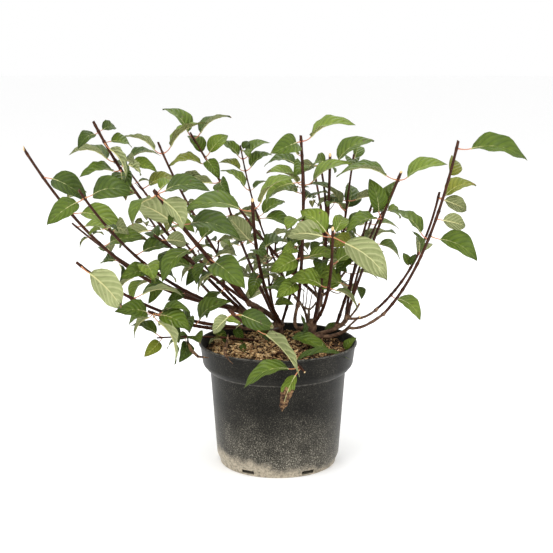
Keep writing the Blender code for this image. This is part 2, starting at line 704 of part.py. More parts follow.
def sprout_row(shoot, pair, side):
    """Short side twig in the axil of one leaf of a pair, as a limb of its own."""
    draw = random.Random(f"{shoot.name} sprout {pair} {side}")
    along = node_share(shoot, pair)
    stem = path_direction(shoot, along)
    across_side, top = across(stem)
    angle = math.radians(shoot.turn + 90 * pair + 180 * side)
    angle += math.radians(draw.uniform(-SPROUT_TURN_SPREAD, SPROUT_TURN_SPREAD))
    out = across_side * math.cos(angle) + top * math.sin(angle)
    start = path_point(shoot, along) + stem * SPROUT_LIFT
    reach = draw.uniform(*SPROUT_REACH)
    end = start + (out * 0.65 + stem * 0.75 + UP * 0.2).normalized() * reach
    middle = (start + end) / 2 + out * reach * 0.08
    radius = SPROUT_RADIUS_SHARE * radius_at(shoot, along)
    return Limb("sprout", shoot.name, start, middle, end, radius, radius * 0.85)


# The whole plant

def make_pot():
    """Turned nursery pot with a rolled lip, a stacking shoulder and drain slots."""
    profile = [
        (0.0, 0.0), (FOOT_RADIUS, 0.0), (FOOT_RADIUS + 0.6, FOOT_HEIGHT),
        (BODY_FOOT_RADIUS, BODY_FOOT), (SHOULDER_RADIUS, SHOULDER_FOOT),
        (SHOULDER_RADIUS + 5.0, SHOULDER_FOOT + 4.0),
        (BAND_FOOT_RADIUS - 1.5, BAND_FOOT - 4.0), (BAND_FOOT_RADIUS, BAND_FOOT),
        (BAND_TOP_RADIUS, POT_HEIGHT - LIP_DEPTH), (LIP_RADIUS, POT_HEIGHT - LIP_DEPTH + 0.8),
        (LIP_RADIUS, POT_HEIGHT - 0.8), (LIP_RADIUS - 0.8, POT_HEIGHT),
        (BAND_TOP_RADIUS - WALL, POT_HEIGHT), (BAND_FOOT_RADIUS - WALL, BAND_FOOT),
        (SHOULDER_RADIUS - WALL, SHOULDER_FOOT), (BODY_FOOT_RADIUS - WALL, BODY_FOOT),
        (FOOT_RADIUS - WALL, WALL), (0.0, WALL),
    ]
    pot = new_object("pot", *turned(profile, POT_SIDES))
    join_axis_points(pot)
    for i in range(SLOT_COUNT):
        heading = math.radians(SLOT_FIRST_HEADING + 360 / SLOT_COUNT * i)
        out = Vector((math.cos(heading), math.sin(heading), 0.0))
        side = Vector((-out.y, out.x, 0.0))
        near, far = FOOT_RADIUS - SLOT_DEPTH / 2, FOOT_RADIUS + SLOT_DEPTH
        corners = []
        for z in (WALL + 0.4, WALL + SLOT_HEIGHT):
            corners.append([out * near - side * SLOT_WIDTH / 2 + UP * z,
                            out * far - side * SLOT_WIDTH / 2 + UP * z,
                            out * far + side * SLOT_WIDTH / 2 + UP * z,
                            out * near + side * SLOT_WIDTH / 2 + UP * z])
        cutter = new_object("slot", *loft(corners))
        boolean(pot, "DIFFERENCE", cutter)
        discard(cutter)
    smooth(pot)
    return pot


def inner_radius(z):
    """Radius of the pot's inner wall at a height."""
    rows = [(WALL, FOOT_RADIUS), (BODY_FOOT, BODY_FOOT_RADIUS),
            (SHOULDER_FOOT, SHOULDER_RADIUS), (BAND_FOOT, BAND_FOOT_RADIUS),
            (POT_HEIGHT, BAND_TOP_RADIUS)]
    for (low, r_low), (high, r_high) in zip(rows, rows[1:]):
        if z <= high:
            return r_low + (r_high - r_low) * (z - low) / (high - low) - WALL
    return BAND_TOP_RADIUS - WALL


def make_soil():
    """Growing medium: fills the pot and rises to a low flat mound round the stools."""
    heights = [WALL + GAP, BODY_FOOT, SHOULDER_FOOT, BAND_FOOT, SOIL_EDGE]
    rings = []
    for z in heights:
        r = inner_radius(z) * math.cos(math.pi / POT_SIDES) - GAP
        rings.append([(r * math.cos(2 * math.pi * s / SOIL_SIDES),
                       r * math.sin(2 * math.pi * s / SOIL_SIDES), z) for s in range(SOIL_SIDES)])
    flat = []
    for s in range(SOIL_SIDES):
        a = 2 * math.pi * s / SOIL_SIDES
        flat.append((SOIL_FLAT_SHIFT.x + SOIL_FLAT_RADIUS * math.cos(a),
                     SOIL_FLAT_SHIFT.y + SOIL_FLAT_RADIUS * math.sin(a), SOIL_TOP))
    rings.append(flat)
    soil = new_object("soil", *loft(rings))
    smooth(soil)
    return soil


def make_limb(row):
    """One old bough or stub, coped to what carries it."""
    limb = new_object(row.name, *loft(tube_rings(row, LIMB_SIDES, LIMB_STEPS)))
    cope(limb, row.carrier)
    smooth(limb)
    return limb


def clear_leaf(row, shoot, leaf, standing):
    """Search trees of a leaf, or None where it would touch what stands already."""
    points, faces = leaf_shape(row, leaf, LEAF_CLEARANCE)
    whole, blade = tree_of(points, faces), tree_of(points, faces[STALK_FACES:])
    for other in standing:
        if other.owner != shoot.name:
            met = touches(whole, other.whole)
        elif other.limb == row.name:
            met = False
        else:
            met = touches(blade, other.blade)
        if met:
            return None
    return whole, blade


def grow_leaves(standing):
    """Leaves and side twigs of every shoot that stand clear of all limbs, the pot and each other."""
    kept = {shoot.name: [] for shoot in SHOOTS}
    sprouts = {shoot.name: [] for shoot in SHOOTS}

    def place(row, shoot, options):
        for option in options:
            trees = clear_leaf(row, shoot, option, standing)
            if trees:
                standing.append(Standing(*trees, shoot.name, "leaf"))
                kept[shoot.name].append((row, option))
                return

    for shoot in SHOOTS:
        for numbers in SHOWN.get(shoot.name, ()):
            place(shoot, shoot, [shown_leaf(shoot, numbers, k) for k in range(TRIES)])
    for shoot in SHOOTS:
        for pair in range(shoot.pairs):
            along = node_share(shoot, pair)
            for side in range(2):
                if f"{pair} {side}" in OPEN_PLACES.get(shoot.name, ()):
                    continue
                turn = shoot.turn + 90 * pair + 180 * side
                size = leaf_size(shoot, pair)
                options = [rule_leaf(shoot, f"{pair} {side}", along, turn, size, k)
                           for k in range(TRIES)]
                options = [o for o in options if not shown_near(shoot, along, o.heading)]
                place(shoot, shoot, options)
    for shoot in SHOOTS:
        for pair in range(shoot.sprouts):
            twig = sprout_row(shoot, pair, pair % 2)
            tree = tree_of(*loft(tube_rings(twig, TWIG_SIDES, TWIG_STEPS, GAP)))
            if any(touches(tree, other.whole) for other in standing if other.owner != shoot.name):
                continue
            sprouts[shoot.name].append(twig)
            standing.append(Standing(tree, tree, shoot.name, twig.name))
            for side in range(2):
                turn = shoot.turn + 90 * pair + 90 + 180 * side
                size = shoot.length * SPROUT_LEAF_SHARE
                place(twig, shoot, [rule_leaf(shoot, f"sprout {pair} {side}", 0.9, turn, size, k)
                                    for k in range(TRIES)])
    return kept, sprouts


def bare_stem(shoot):
    """Stem of a shoot, coped to what carries it or cut flat at the ground."""
    stem = new_object(shoot.name, *loft(tube_rings(shoot, SHOOT_SIDES, SHOOT_STEPS)))
    if shoot.carrier == "soil":
        corners = ((-1, -1), (1, -1), (1, 1), (-1, 1))
        floor = new_object("cutter", *loft([
            [(x * LIP_RADIUS, y * LIP_RADIUS, z) for x, y in corners]
            for z in (SOIL_TOP - 60, SOIL_TOP + GAP)]))
        boolean(stem, "DIFFERENCE", floor)
        discard(floor)
    else:
        cope(stem, shoot.carrier)
    return stem


def joined_shoot(shoot, leaves, twigs, sink, solver):
    """Stem, side twigs and leaves of a shoot, joined by one union on a collection."""
    stem = bare_stem(shoot)
    parts = bpy.data.collections.new("parts")
    bpy.context.scene.collection.children.link(parts)
    shapes = [loft(tube_rings(twig, TWIG_SIDES, TWIG_STEPS)) for twig in twigs]
    shapes += [leaf_shape(row, leaf, 0.0, sink + SINK_STEP * (i % 5))
               for i, (row, leaf) in enumerate(leaves)]
    for shape in shapes:
        made = new_object("joined", *shape)
        bpy.context.scene.collection.objects.unlink(made)
        parts.objects.link(made)
    boolean(stem, "UNION", collection=parts, solver=solver)
    for made in list(parts.objects):
        discard(made)
    bpy.data.collections.remove(parts)
    return stem


def make_shoot(shoot, leaves, twigs):
    """One leafy shoot in one closed solid: a leaf that spoils every union is left out."""
    while True:
        for sink in SINKS:
            for solver in ("EXACT", "MANIFOLD"):
                made = joined_shoot(shoot, leaves, twigs, sink, solver)
                places = faults(made.data)
                if not places:
                    return made
                discard(made)
        spoilt = min(leaves, key=lambda one: (path_point(one[0], one[1].along) - places[0]).length)
        leaves.remove(spoilt)


def build():
    """Builds every node."""
    for old in list(bpy.data.objects):
        bpy.data.objects.remove(old)
    charcoal = material("black_polypropylene", "3A3A38", 0.6)
    compost = material("bark_compost", "6B4E33", 0.95)
    bark = material("old_bark", "6A513D", 0.85)
    foliage = material("green_leaf", "4F7038", 0.5)

    pot = make_pot()
    dress(pot, charcoal)
    soil = make_soil()
    dress(soil, compost)
    standing = []

    def stand(name, points, faces):
        tree = tree_of(points, faces)
        standing.append(Standing(tree, tree, name, name))

    for made in (pot, soil):
        stand(made.name, [v.co / MM for v in made.data.vertices],
              [tuple(p.vertices) for p in made.data.polygons])
    for name in STOOLS:
        rings = stool_rings(name)
        stool = new_object(name, *loft(rings))
        smooth(stool)
        dress(stool, bark)
        stand(name, *loft(rings))
    for row in LIMBS:
        limb = make_limb(row)
        dress(limb, bark)
        stand(row.name, *loft(tube_rings(row, LIMB_SIDES, LIMB_STEPS)))
    for shoot in SHOOTS:
        stand(shoot.name, *loft(tube_rings(shoot, SHOOT_SIDES, SHOOT_STEPS)))
    kept, sprouts = grow_leaves(standing)
    for shoot in SHOOTS:
        made = make_shoot(shoot, kept[shoot.name], sprouts[shoot.name])
        smooth(made, 30)
        dress(made, foliage)


build()
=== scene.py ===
import math
import random
from collections import namedtuple
from functools import partial

import bpy
import numpy as np
from mathutils import Matrix, Vector
from mathutils.kdtree import KDTree


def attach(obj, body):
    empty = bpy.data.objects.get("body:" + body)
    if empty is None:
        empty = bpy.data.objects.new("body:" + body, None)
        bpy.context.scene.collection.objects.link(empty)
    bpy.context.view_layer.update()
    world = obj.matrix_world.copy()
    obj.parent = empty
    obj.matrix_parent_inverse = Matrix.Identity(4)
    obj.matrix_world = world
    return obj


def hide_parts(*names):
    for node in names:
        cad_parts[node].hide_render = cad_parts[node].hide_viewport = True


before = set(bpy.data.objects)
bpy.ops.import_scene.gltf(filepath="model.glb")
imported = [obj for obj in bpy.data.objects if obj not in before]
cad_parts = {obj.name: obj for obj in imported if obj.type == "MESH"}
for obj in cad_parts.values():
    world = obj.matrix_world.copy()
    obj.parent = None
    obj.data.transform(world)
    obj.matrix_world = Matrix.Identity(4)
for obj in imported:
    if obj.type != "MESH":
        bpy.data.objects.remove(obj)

MM = 0.001
UP = Vector((0.0, 0.0, 1.0))
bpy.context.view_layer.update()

# The frame's sizes
POT_HEIGHT = 180.0
LIP_RADIUS = 115.0
LIP_DEPTH = 4.0
BAND_TOP_RADIUS = 114.0
BAND_FOOT_RADIUS = 109.5
BAND_FOOT = 151.0
SHOULDER_RADIUS = 99.0
SHOULDER_FOOT = 138.0
BODY_FOOT_RADIUS = 89.5
BODY_FOOT = 14.0
FOOT_RADIUS = 85.0
FOOT_HEIGHT = 5.0
WALL = 2.0
SLOT_COUNT = 6
SLOT_WIDTH = 20.0
SLOT_HEIGHT = 6.0
SLOT_FIRST_HEADING = 0.0
SLOT_DEPTH = 12.0
SOIL_EDGE = 163.0
SOIL_TOP = 168.0
SOIL_FLAT_RADIUS = 82.0
SOIL_FLAT_SHIFT = Vector((0.0, 8.0, 0.0))
GAP = 0.3

# The frame's leaves
LEAF_HALF_WIDTH = 0.25
LEAF_ARCH = 0.10
LEAF_FOLD = 0.08
LEAF_TIP_DROP = 0.12
WIDEST_AT = 0.42
PETIOLE_SHARE = 0.20
TRIES = 9
SPROUT_LIFT = 2.6
SPROUT_RADIUS_SHARE = 0.8
SPROUT_LEAF_SHARE = 0.62
TIP_BARE = 8.0
LEAF_TILT = 24.0
TILT_SPREAD = 30.0
CROWN_AXIS = Vector((10.0, 50.0, 0.0))
TURN_SPREAD = 14
LEAN_OUT = 0.86
LEAN_UP = (0.15, 0.5)
LEVEL_LEAST = 0.3
CLIMB_SHARE = 0.45
DROOP = 34
STEEPEST_HANG = 75.0
WANDER_FIRST = 14
WANDER_STEP = 5
WANDER_RISE_SHARE = 0.7
SIZE_SPREAD = (0.85, 1.12)
SHRINK_STEP = 0.03
SHOWN_WANDER_STEP = 3.0
SHOWN_SHRINK_STEP = 0.02
FOOT_LEAF_SHARE = 0.72
SIZE_SWELL = 0.30
SPROUT_TURN_SPREAD = 20
SPROUT_REACH = (14, 24)
TIP_MATCH = 0.4

# The photograph's camera, in metres and degrees
CAMERA_PLACE = (-0.002, -1.7589, 0.6256)
CAMERA_PITCH = 11.288
CAMERA_LENS = 81.03
CAMERA_SENSOR = 36.0

Limb = namedtuple("Limb", "name carrier start middle end start_radius end_radius")
Shoot = namedtuple("Shoot", "name carrier start middle end radii pairs first length turn sprouts")
Leaf = namedtuple("Leaf", "along heading rise length roll")

# The two stools, each with the heights of its rings above the ground, their shift and radius
STOOLS = {
    "stool_right": (Vector((47.0, 38.0, 0.0)), (
        (0.0, 0.0, 0.0, 11.5), (5.0, 0.6, 0.0, 9.4), (13.0, 1.8, 0.4, 8.2),
        (23.0, 3.4, 0.8, 7.4), (31.0, 4.6, 1.0, 6.6), (35.0, 5.0, 1.2, 4.6))),
    "stool_left": (Vector((-1.0, 76.0, 0.0)), (
        (0.0, 0.0, 0.0, 11.5), (5.0, 0.0, 0.0, 9.6), (12.0, 0.4, 0.0, 8.8),
        (19.0, 1.0, 0.0, 8.2), (23.0, 1.4, 0.0, 5.5))),
}

# Old boughs and pruned stubs: name, what carries it, start, middle, end and the two radii
LIMBS = (
    Limb("arm_right_front", "stool_right", (51, 35, 178), (82, 23, 181), (104, 14, 196), 3.1, 2.7),
    Limb("arm_right_back", "stool_right", (52, 42, 178), (86, 47, 186), (103, 45, 203), 3.0, 3.8),
    Limb("bough_sweep_front", "arm_right_front", (103, 14, 196), (124, 7, 199), (153, 0, 219),
         2.4, 2.2),
    Limb("bough_sweep_back", "arm_right_back", (102, 46, 202), (127, 52, 202), (147, 56, 213),
         2.2, 2.0),
    Limb("bough_bend_left", "stool_right", (49, 36, 196), (27, 21, 195), (29, 17, 228), 3.3, 2.6),
    Limb("bough_left", "stool_left", (-4, 78, 179), (-54, 73, 206), (-110, 58, 224), 5.0, 4.2),
    Limb("bough_low_left", "stool_left", (-3, 71, 174), (-50, 48, 186), (-96, 20, 193), 3.2, 2.6),
    Limb("bough_left_upper", "stool_left", (-1, 77, 190), (-22, 56, 212), (-42, 28, 229), 4.2, 3.8),
    Limb("stump_back", "stool_right", (53, 44, 190), (59, 61, 211), (64, 70, 235), 3.8, 4.2),
    Limb("branch_back", "stump_back", (64, 70, 229), (83, 82, 242), (102, 95, 263), 2.3, 1.8),
    Limb("fork_dead", "stool_right", (44, 41, 195), (38, 60, 215), (22, 84, 232), 2.2, 1.9),
    Limb("stub_right_back", "arm_right_back", (104, 42, 202), (113, 33, 215), (120, 27, 229),
         1.9, 1.7),
    Limb("stub_right_front", "arm_right_front", (98, 15, 191), (107, 2, 204), (118, -8, 217),
         1.8, 1.6),
)

# Leafy shoots: name, carrier, start, middle, end, radii at foot and tip, pairs of leaves, where
# the first pair stands, length of a full leaf, turn of the first pair, and pairs with side sprouts
SHOOTS = (
    Shoot("shoot_right_1", "arm_right_back", (101, 42, 204), (135, 25, 312), (175, 4, 425),
          (2.1, 2.0), 3, 0.42, 66, 10, 0),
    Shoot("shoot_right_2", "arm_right_back", (105, 48, 204), (126, 60, 291), (161, 72, 369),
          (2.0, 1.5), 3, 0.50, 52, 60, 0),
    Shoot("shoot_right_3", "bough_sweep_front", (153, 0, 219), (209, -12, 318), (251, -24, 472),
          (2.2, 2.0), 3, 0.40, 64, 0, 0),
    Shoot("shoot_right_4", "bough_sweep_back", (147, 56, 213), (204, 64, 286), (239, 70, 388),
          (2.0, 1.8), 3, 0.30, 52, 80, 0),
    Shoot("shoot_middle_1", "stool_left", (6, 72, 186), (-24, 34, 270), (-36, -14, 387),
          (2.9, 2.3), 3, 0.40, 70, 20, 1),
    Shoot("shoot_middle_2", "bough_bend_left", (29, 17, 228), (36, 4, 350), (32, -8, 478),
          (2.6, 2.0), 4, 0.30, 68, 5, 1),
    Shoot("shoot_middle_3", "stool_left", (5, 81, 183), (34, 57, 316), (36, 54, 438),
          (2.3, 1.5), 4, 0.30, 60, 70, 1),
    Shoot("shoot_middle_4", "stool_right", (54, 40, 196), (70, 49, 310), (76, 54, 444),
          (2.5, 2.1), 3, 0.42, 64, 40, 1),
    Shoot("shoot_middle_5", "stump_back", (61, 68, 231), (73, 93, 336), (62, 110, 431),
          (2.4, 1.6), 3, 0.36, 58, 100, 1),
    Shoot("shoot_middle_6", "stool_right", (51, 33, 197), (72, 8, 248), (77, -30, 349),
          (2.7, 2.1), 3, 0.56, 74, 20, 0),
    Shoot("shoot_middle_7", "branch_back", (93, 89, 252), (101, 96, 341), (114, 107, 440),
          (2.0, 1.5), 3, 0.36, 60, 60, 1),
    Shoot("shoot_middle_8", "arm_right_back", (101, 49, 201), (115, 67, 277), (141, 91, 367),
          (2.1, 1.7), 3, 0.54, 56, 20, 0),
    Shoot("shoot_left_1", "bough_left", (-110, 58, 224), (-243, 36, 300), (-362, 16, 457),
          (2.9, 1.9), 4, 0.36, 60, 70, 0),
    Shoot("shoot_left_2", "bough_left", (-103, 62, 223), (-212, 90, 266), (-313, 116, 334),
          (2.2, 1.5), 3, 0.40, 56, 20, 0),
    Shoot("shoot_left_3", "bough_left", (-70, 64, 213), (-180, -12, 287), (-273, -64, 408),
          (2.7, 1.8), 4, 0.34, 62, 50, 0),
    Shoot("shoot_left_4", "bough_low_left", (-56, 44, 189), (-170, -36, 233), (-273, -104, 315),
          (2.6, 2.0), 3, 0.34, 66, 0, 0),
    Shoot("shoot_left_5", "bough_left", (-54, 70, 208), (-172, 18, 350), (-256, -26, 499),
          (2.8, 1.9), 4, 0.36, 60, 30, 0),
    Shoot("shoot_left_6", "bough_left", (-44, 73, 203), (-150, 122, 312), (-249, 150, 439),
          (2.2, 1.4), 4, 0.34, 58, 10, 1),
    Shoot("shoot_left_7", "bough_left_upper", (-42, 28, 229), (-110, -42, 325), (-167, -96, 412),
          (3.5, 2.5), 4, 0.30, 70, 0, 1),
    Shoot("shoot_left_8", "bough_left_upper", (-24, 48, 212), (-98, 18, 272), (-175, -24, 339),
          (2.6, 1.8), 3, 0.36, 62, 60, 1),
    Shoot("shoot_left_9", "bough_left", (-27, 75, 195), (-121, 106, 338), (-181, 124, 457),
          (2.4, 1.6), 4, 0.32, 58, 40, 1),
    Shoot("shoot_left_10", "stump_back", (60, 72, 230), (-38, 110, 330), (-134, 150, 469),
          (2.6, 1.5), 4, 0.32, 58, 80, 1),
    Shoot("shoot_left_11", "fork_dead", (22, 84, 232), (-26, 130, 328), (-58, 168, 448),
          (1.9, 1.1), 4, 0.30, 44, 20, 0),
    Shoot("shoot_low_left_1", "bough_low_left", (-96, 20, 193), (-138, -20, 211),
          (-181, -60, 237), (2.5, 1.8), 2, 0.55, 62, 30, 0),
    Shoot("shoot_low_left_2", "soil", (-10, 48, 163), (-88, -2, 185), (-169, -70, 201),
          (1.9, 1.1), 3, 0.45, 46, 70, 0),
    Shoot("shoot_front_1", "stool_left", (1, 68, 181), (-33, -92, 222), (-66, -132, 256),
          (2.8, 2.4), 2, 0.50, 52, 60, 0),
    Shoot("shoot_front_2", "soil", (-4, -46, 165), (8, -98, 186), (36, -140, 171),
          (1.7, 1.4), 0, 0.80, 60, 0, 0),
    Shoot("shoot_back_1", "stump_back", (64, 68, 218), (72, 156, 300), (60, 236, 392),
          (2.6, 1.7), 4, 0.34, 62, 30, 2),
    Shoot("shoot_back_2", "arm_right_back", (86, 48, 187), (118, 120, 260), (148, 190, 328),
          (2.6, 1.7), 4, 0.36, 62, 70, 2),
    Shoot("shoot_back_3", "stool_left", (-1, 82, 187), (-52, 160, 284), (-92, 238, 382),
          (2.6, 1.7), 4, 0.34, 62, 10, 2),
    Shoot("shoot_back_4", "bough_left", (-84, 68, 216), (-158, 148, 280), (-222, 216, 352),
          (2.4, 1.6), 4, 0.34, 60, 50, 2),
    Shoot("shoot_back_5", "stool_left", (1, 84, 175), (-14, 156, 236), (-16, 238, 296),
          (2.4, 1.6), 3, 0.42, 62, 40, 2),
)

# Leaves that show plainly: share along the shoot, heading, rise, length with its stalk, and how
# far the upper face is rolled towards the viewer, or away from the viewer below nought
SHOWN = {
    "shoot_right_1": (
        (0.95, 190, 10, 90, 12), (0.95, 345, 25, 74, 28), (0.70, 215, -10, 66, 18),
        (0.70, 165, 75, 60, 60), (0.70, 35, 65, 62, 10), (0.54, 10, -30, 50, 30)),
    "shoot_right_3": (
        (0.98, 355, -5, 100, 36), (0.84, 70, 35, 56, 40), (0.66, 325, -5, 50, -88),
        (0.57, 350, -25, 76, 40), (0.55, 150, 35, 72, 5), (0.45, 115, 70, 40, -45)),
    "shoot_right_4": (
        (0.96, 10, 25, 62, 26), (0.96, 325, -15, 52, -88), (0.43, 120, 55, 28, 20),
        (0.43, 30, 60, 26, 20), (0.17, 350, -35, 58, 24)),
    "shoot_middle_1": (
        (0.94, 185, 5, 98, 24), (0.95, 335, 45, 78, 20), (0.72, 200, 50, 64, -80),
        (0.23, 335, 10, 36, 40)),
    "shoot_middle_2": (
        (0.98, 340, 25, 82, 20), (0.98, 230, -10, 62, 60), (0.89, 220, 20, 42, 36),
        (0.16, 220, -25, 48, 50)),
    "shoot_middle_3": (
        (0.84, 340, 30, 82, 30), (0.84, 210, 25, 66, 20), (0.96, 155, 5, 64, 16),
        (0.79, 150, -5, 56, 10)),
    "shoot_middle_4": (
        (0.96, 125, -10, 46, 36), (0.95, 5, 35, 74, 24)),
    "shoot_middle_6": (
        (0.96, 205, 8, 74, -70), (0.95, 345, -36, 98, -84), (0.95, 150, 30, 68, 50),
        (0.96, 65, 30, 52, 30)),
    "shoot_middle_7": (
        (0.58, 205, 45, 76, 5), (0.56, 75, 45, 64, 40), (0.95, 75, 30, 50, 40),
        (0.43, 40, 15, 60, 30)),
    "shoot_middle_8": (
        (0.66, 225, 10, 62, 30), (0.62, 215, -35, 50, 30), (0.32, 165, 15, 76, 60)),
    "shoot_left_1": (
        (0.89, 350, -25, 72, 45), (0.73, 350, -15, 80, 28),
        (0.55, 345, 15, 68, 42), (0.46, 135, -10, 46, 36), (0.46, 290, -60, 32, -60)),
    "shoot_left_2": ((0.97, 5, -15, 62, 15),),
    "shoot_left_3": (
        (0.96, 345, 10, 74, 50), (0.96, 220, -25, 66, 40), (0.61, 25, 10, 66, 32),
        (0.48, 225, 5, 62, 26), (0.48, 45, -25, 46, 30), (0.48, 265, -55, 48, 45),
        (0.28, 220, -10, 34, 45)),
    "shoot_left_4": ((0.97, 330, -35, 88, -90),),
    "shoot_left_5": (
        (0.95, 225, -25, 40, 30), (0.95, 55, 10, 36, 40), (0.90, 35, -10, 46, 44),
        (0.90, 320, -50, 70, -50), (0.81, 160, 15, 74, -8), (0.77, 210, 0, 62, 20)),
    "shoot_left_6": (
        (0.94, 15, 15, 60, 10), (0.93, 310, -15, 50, -60), (0.92, 340, -10, 54, 35),
        (0.79, 15, 15, 60, 30)),
    "shoot_left_7": (
        (0.97, 340, 10, 76, 40), (0.96, 322, -38, 72, -92), (0.69, 195, 30, 74, -70),
        (0.70, 340, -5, 88, 30), (0.40, 310, -20, 84, 38)),
    "shoot_left_8": (
        (0.94, 330, 0, 46, -80), (0.94, 120, 10, 46, 30), (0.62, 210, 10, 66, 28),
        (0.62, 235, -40, 34, 40)),
    "shoot_left_9": ((0.92, 180, 30, 68, -12), (0.92, 0, 40, 82, 5)),
    "shoot_left_10": (
        (0.97, 155, 45, 70, 5), (0.97, 20, 35, 68, 5), (0.88, 140, 45, 50, 22),
        (0.88, 30, 45, 52, 36), (0.88, 310, -40, 44, 45), (0.85, 195, 5, 62, 20),
        (0.76, 290, -20, 52, 50)),
    "shoot_left_11": (
        (0.97, 55, 40, 24, 20), (0.92, 155, 40, 48, 20), (0.92, 30, 35, 54, 10),
        (0.85, 35, 30, 56, 10), (0.85, 165, 20, 46, 10), (0.73, 165, 40, 56, 14),
        (0.73, 30, 25, 34, 10), (0.56, 20, 30, 50, 28), (0.55, 345, -15, 56, 22)),
    "shoot_low_left_1": (
        (0.94, 220, 15, 60, 50), (0.94, 220, -35, 46, -30), (0.94, 310, -45, 86, -60),
        (0.92, 325, -20, 68, 28), (0.88, 340, 15, 52, 10), (0.94, 160, -25, 44, 30),
        (0.30, 345, 40, 66, 42), (0.30, 125, 15, 46, 44)),
    "shoot_low_left_2": (
        (0.97, 165, 20, 54, 14), (0.96, 225, -30, 38, 50), (0.77, 260, -45, 40, 50)),
    "shoot_front_1": (
        (0.92, 220, -30, 42, -88), (0.89, 345, -15, 58, 50), (0.49, 315, -25, 106, -50)),
    "shoot_front_2": ((0.90, 190, -10, 80, 10), (0.94, 215, -60, 64, 30)),
}

# Pruned shoots whose cut shows: the heading that it faces, and its slope
PRUNED = {
    "shoot_middle_1": (270, 1.1), "shoot_middle_4": (270, 1.4), "shoot_middle_6": (265, 1.5),
    "shoot_middle_8": (255, 1.1), "shoot_right_1": (250, 0.9), "shoot_left_1": (215, 2.4),
    "shoot_front_2": (300, 0.4),
}
# Pruned stubs, and the heading and rise that each pale cut faces
CUT_LIMBS = {
    "stub_right_back": (250, 30), "stub_right_front": (250, 30), "branch_back": (270, 20),
    "stump_back": (270, 60),
}

# Finishes of leaves, in the order of their slots
DEEP, MID, FRESH, OLIVE, UNDER, UNDER_WARM, SCORCHED = range(7)
# Tones of plainly seen leaves, by their place in their shoot's row
SEEN_TONES = {
    "shoot_right_1": {0: MID, 1: FRESH, 3: MID, 4: MID},
    "shoot_right_3": {0: MID, 1: OLIVE, 2: MID, 3: MID, 4: MID},
    "shoot_right_4": {0: OLIVE, 1: MID, 4: FRESH},
    "shoot_middle_2": {0: FRESH, 1: MID},
    "shoot_middle_3": {0: FRESH},
    "shoot_middle_6": {0: MID, 1: MID, 2: FRESH},
    "shoot_middle_8": {0: OLIVE, 2: FRESH},
    "shoot_left_3": {0: DEEP, 1: MID, 2: DEEP, 3: MID},
    "shoot_left_5": {0: DEEP, 5: MID},
    "shoot_left_6": {2: FRESH},
    "shoot_left_7": {0: DEEP, 1: MID, 2: MID, 4: MID},
    "shoot_left_10": {3: FRESH},
    "shoot_low_left_1": {0: MID, 2: MID, 3: MID, 6: MID},
    "shoot_front_2": {0: MID, 1: FRESH},
}
# Shoots on which a share of the leaves has a tone of its own, the rest of the plant's share of
# yellowed ones, and the shoots whose steepest leaves are half dead and shrunk
TONED = {
    "shoot_low_left_1": (0.5, OLIVE), "shoot_low_left_2": (0.3, OLIVE),
    "shoot_middle_1": (0.4, FRESH), "shoot_middle_2": (0.6, FRESH), "shoot_middle_6": (0.6, FRESH),
}
OLIVE_ELSEWHERE = (0.03, OLIVE)
DYING = {"shoot_front_2": -50}
HALF_DEAD = 0.42
SHRUNK = 0.6
CRUMPLE = 0.06
# Shoots whose blades lie flatter than the rest, as a share of the common arch
FLATTER = {"shoot_front_1": 0.35}

# Small leaves that the frame leaves out: shoot, share along it, heading, rise, length, roll, tone
SMALL_LEAVES = (
    ("shoot_front_1", 0.92, 220, -30, 42, 88, MID),
    ("shoot_middle_2", 0.17, 5, -4, 58, 25, FRESH),
    ("shoot_middle_2", 0.47, 200, -30, 40, 40, DEEP),
    ("shoot_low_left_1", 0.62, 290, -50, 36, 40, DEEP),
)

# Single low leaves: what they are, foot, heading, rise, length, width share, roll and finish
GROUND_LEAVES = (
    ("upright before the trunk", (34, 12, 171), 80, 82, 58, 0.4, 60, DEEP),
    ("over the compost", (21, 14, 181), 331, -10, 82, 0.62, 25, MID),
    ("along the lip", (26, -87, 172), 21, 2, 102, 0.38, 5, DEEP),
    ("against the wall", (97, -10, 169), 5, 50, 30, 0.9, 50, MID),
    ("behind the arm", (70, 62, 176), 350, 25, 44, 0.9, 35, MID),
    ("under the low bough", (-90, 22, 190), 320, -40, 32, 0.9, 30, DEEP),
    ("beside the low bough", (-62, 38, 188), 300, -40, 32, 0.9, 30, DEEP),
    ("on the compost", (-52, -8, 176), 290, -30, 22, 0.9, 30, DEEP),
    ("under the front shoot", (-36, 14, 196), 345, -35, 40, 0.8, 35, DEEP),
)

# Thin dead twigs: name, start, middle, end and the two radii
DEAD_TWIGS = (
    ("fork", (45, 46, 190), (46, 48, 205), (46, 48, 217), 2.3, 1.9),
    ("fork_right", (46, 48, 215), (51, 48, 218), (57, 48, 226), 1.6, 1.3),
    ("fork_left", (46, 48, 215), (36, 48, 221), (24, 48, 234), 1.6, 1.2),
    ("prick_left", (37, 48, 219), (38, 47, 233), (39, 46, 249), 0.9, 0.6),
    ("prick_middle", (41, 48, 218), (43, 47, 236), (44, 46, 256), 0.9, 0.6),
    ("prick_right", (47, 48, 216), (49, 46, 230), (52, 46, 245), 0.9, 0.6),
    ("crook", (60, 62, 228), (52, 56, 250), (40, 52, 260), 1.5, 1.0),
    ("crook_side", (57, 58, 244), (54, 54, 253), (48, 52, 260), 0.9, 0.6),
    ("back_upper", (86, 84, 244), (98, 90, 247), (110, 92, 251), 0.9, 0.6),
    ("back_lower", (78, 79, 238), (92, 84, 232), (100, 86, 241), 0.9, 0.7),
)

# Dried leaves that hang rolled up, each by its course from the top
DRIED_LEAVES = (
    ((-128, -40, 196), (-127, -56, 192), (-122, -64, 182), (-112, -70, 174), (-97, -76, 174)),
    ((-70, -60, 204), (-71, -72, 196), (-73, -88, 189), (-72, -99, 183), (-67, -104, 178), (-62, -105, 173)),
)

# Paths and frames

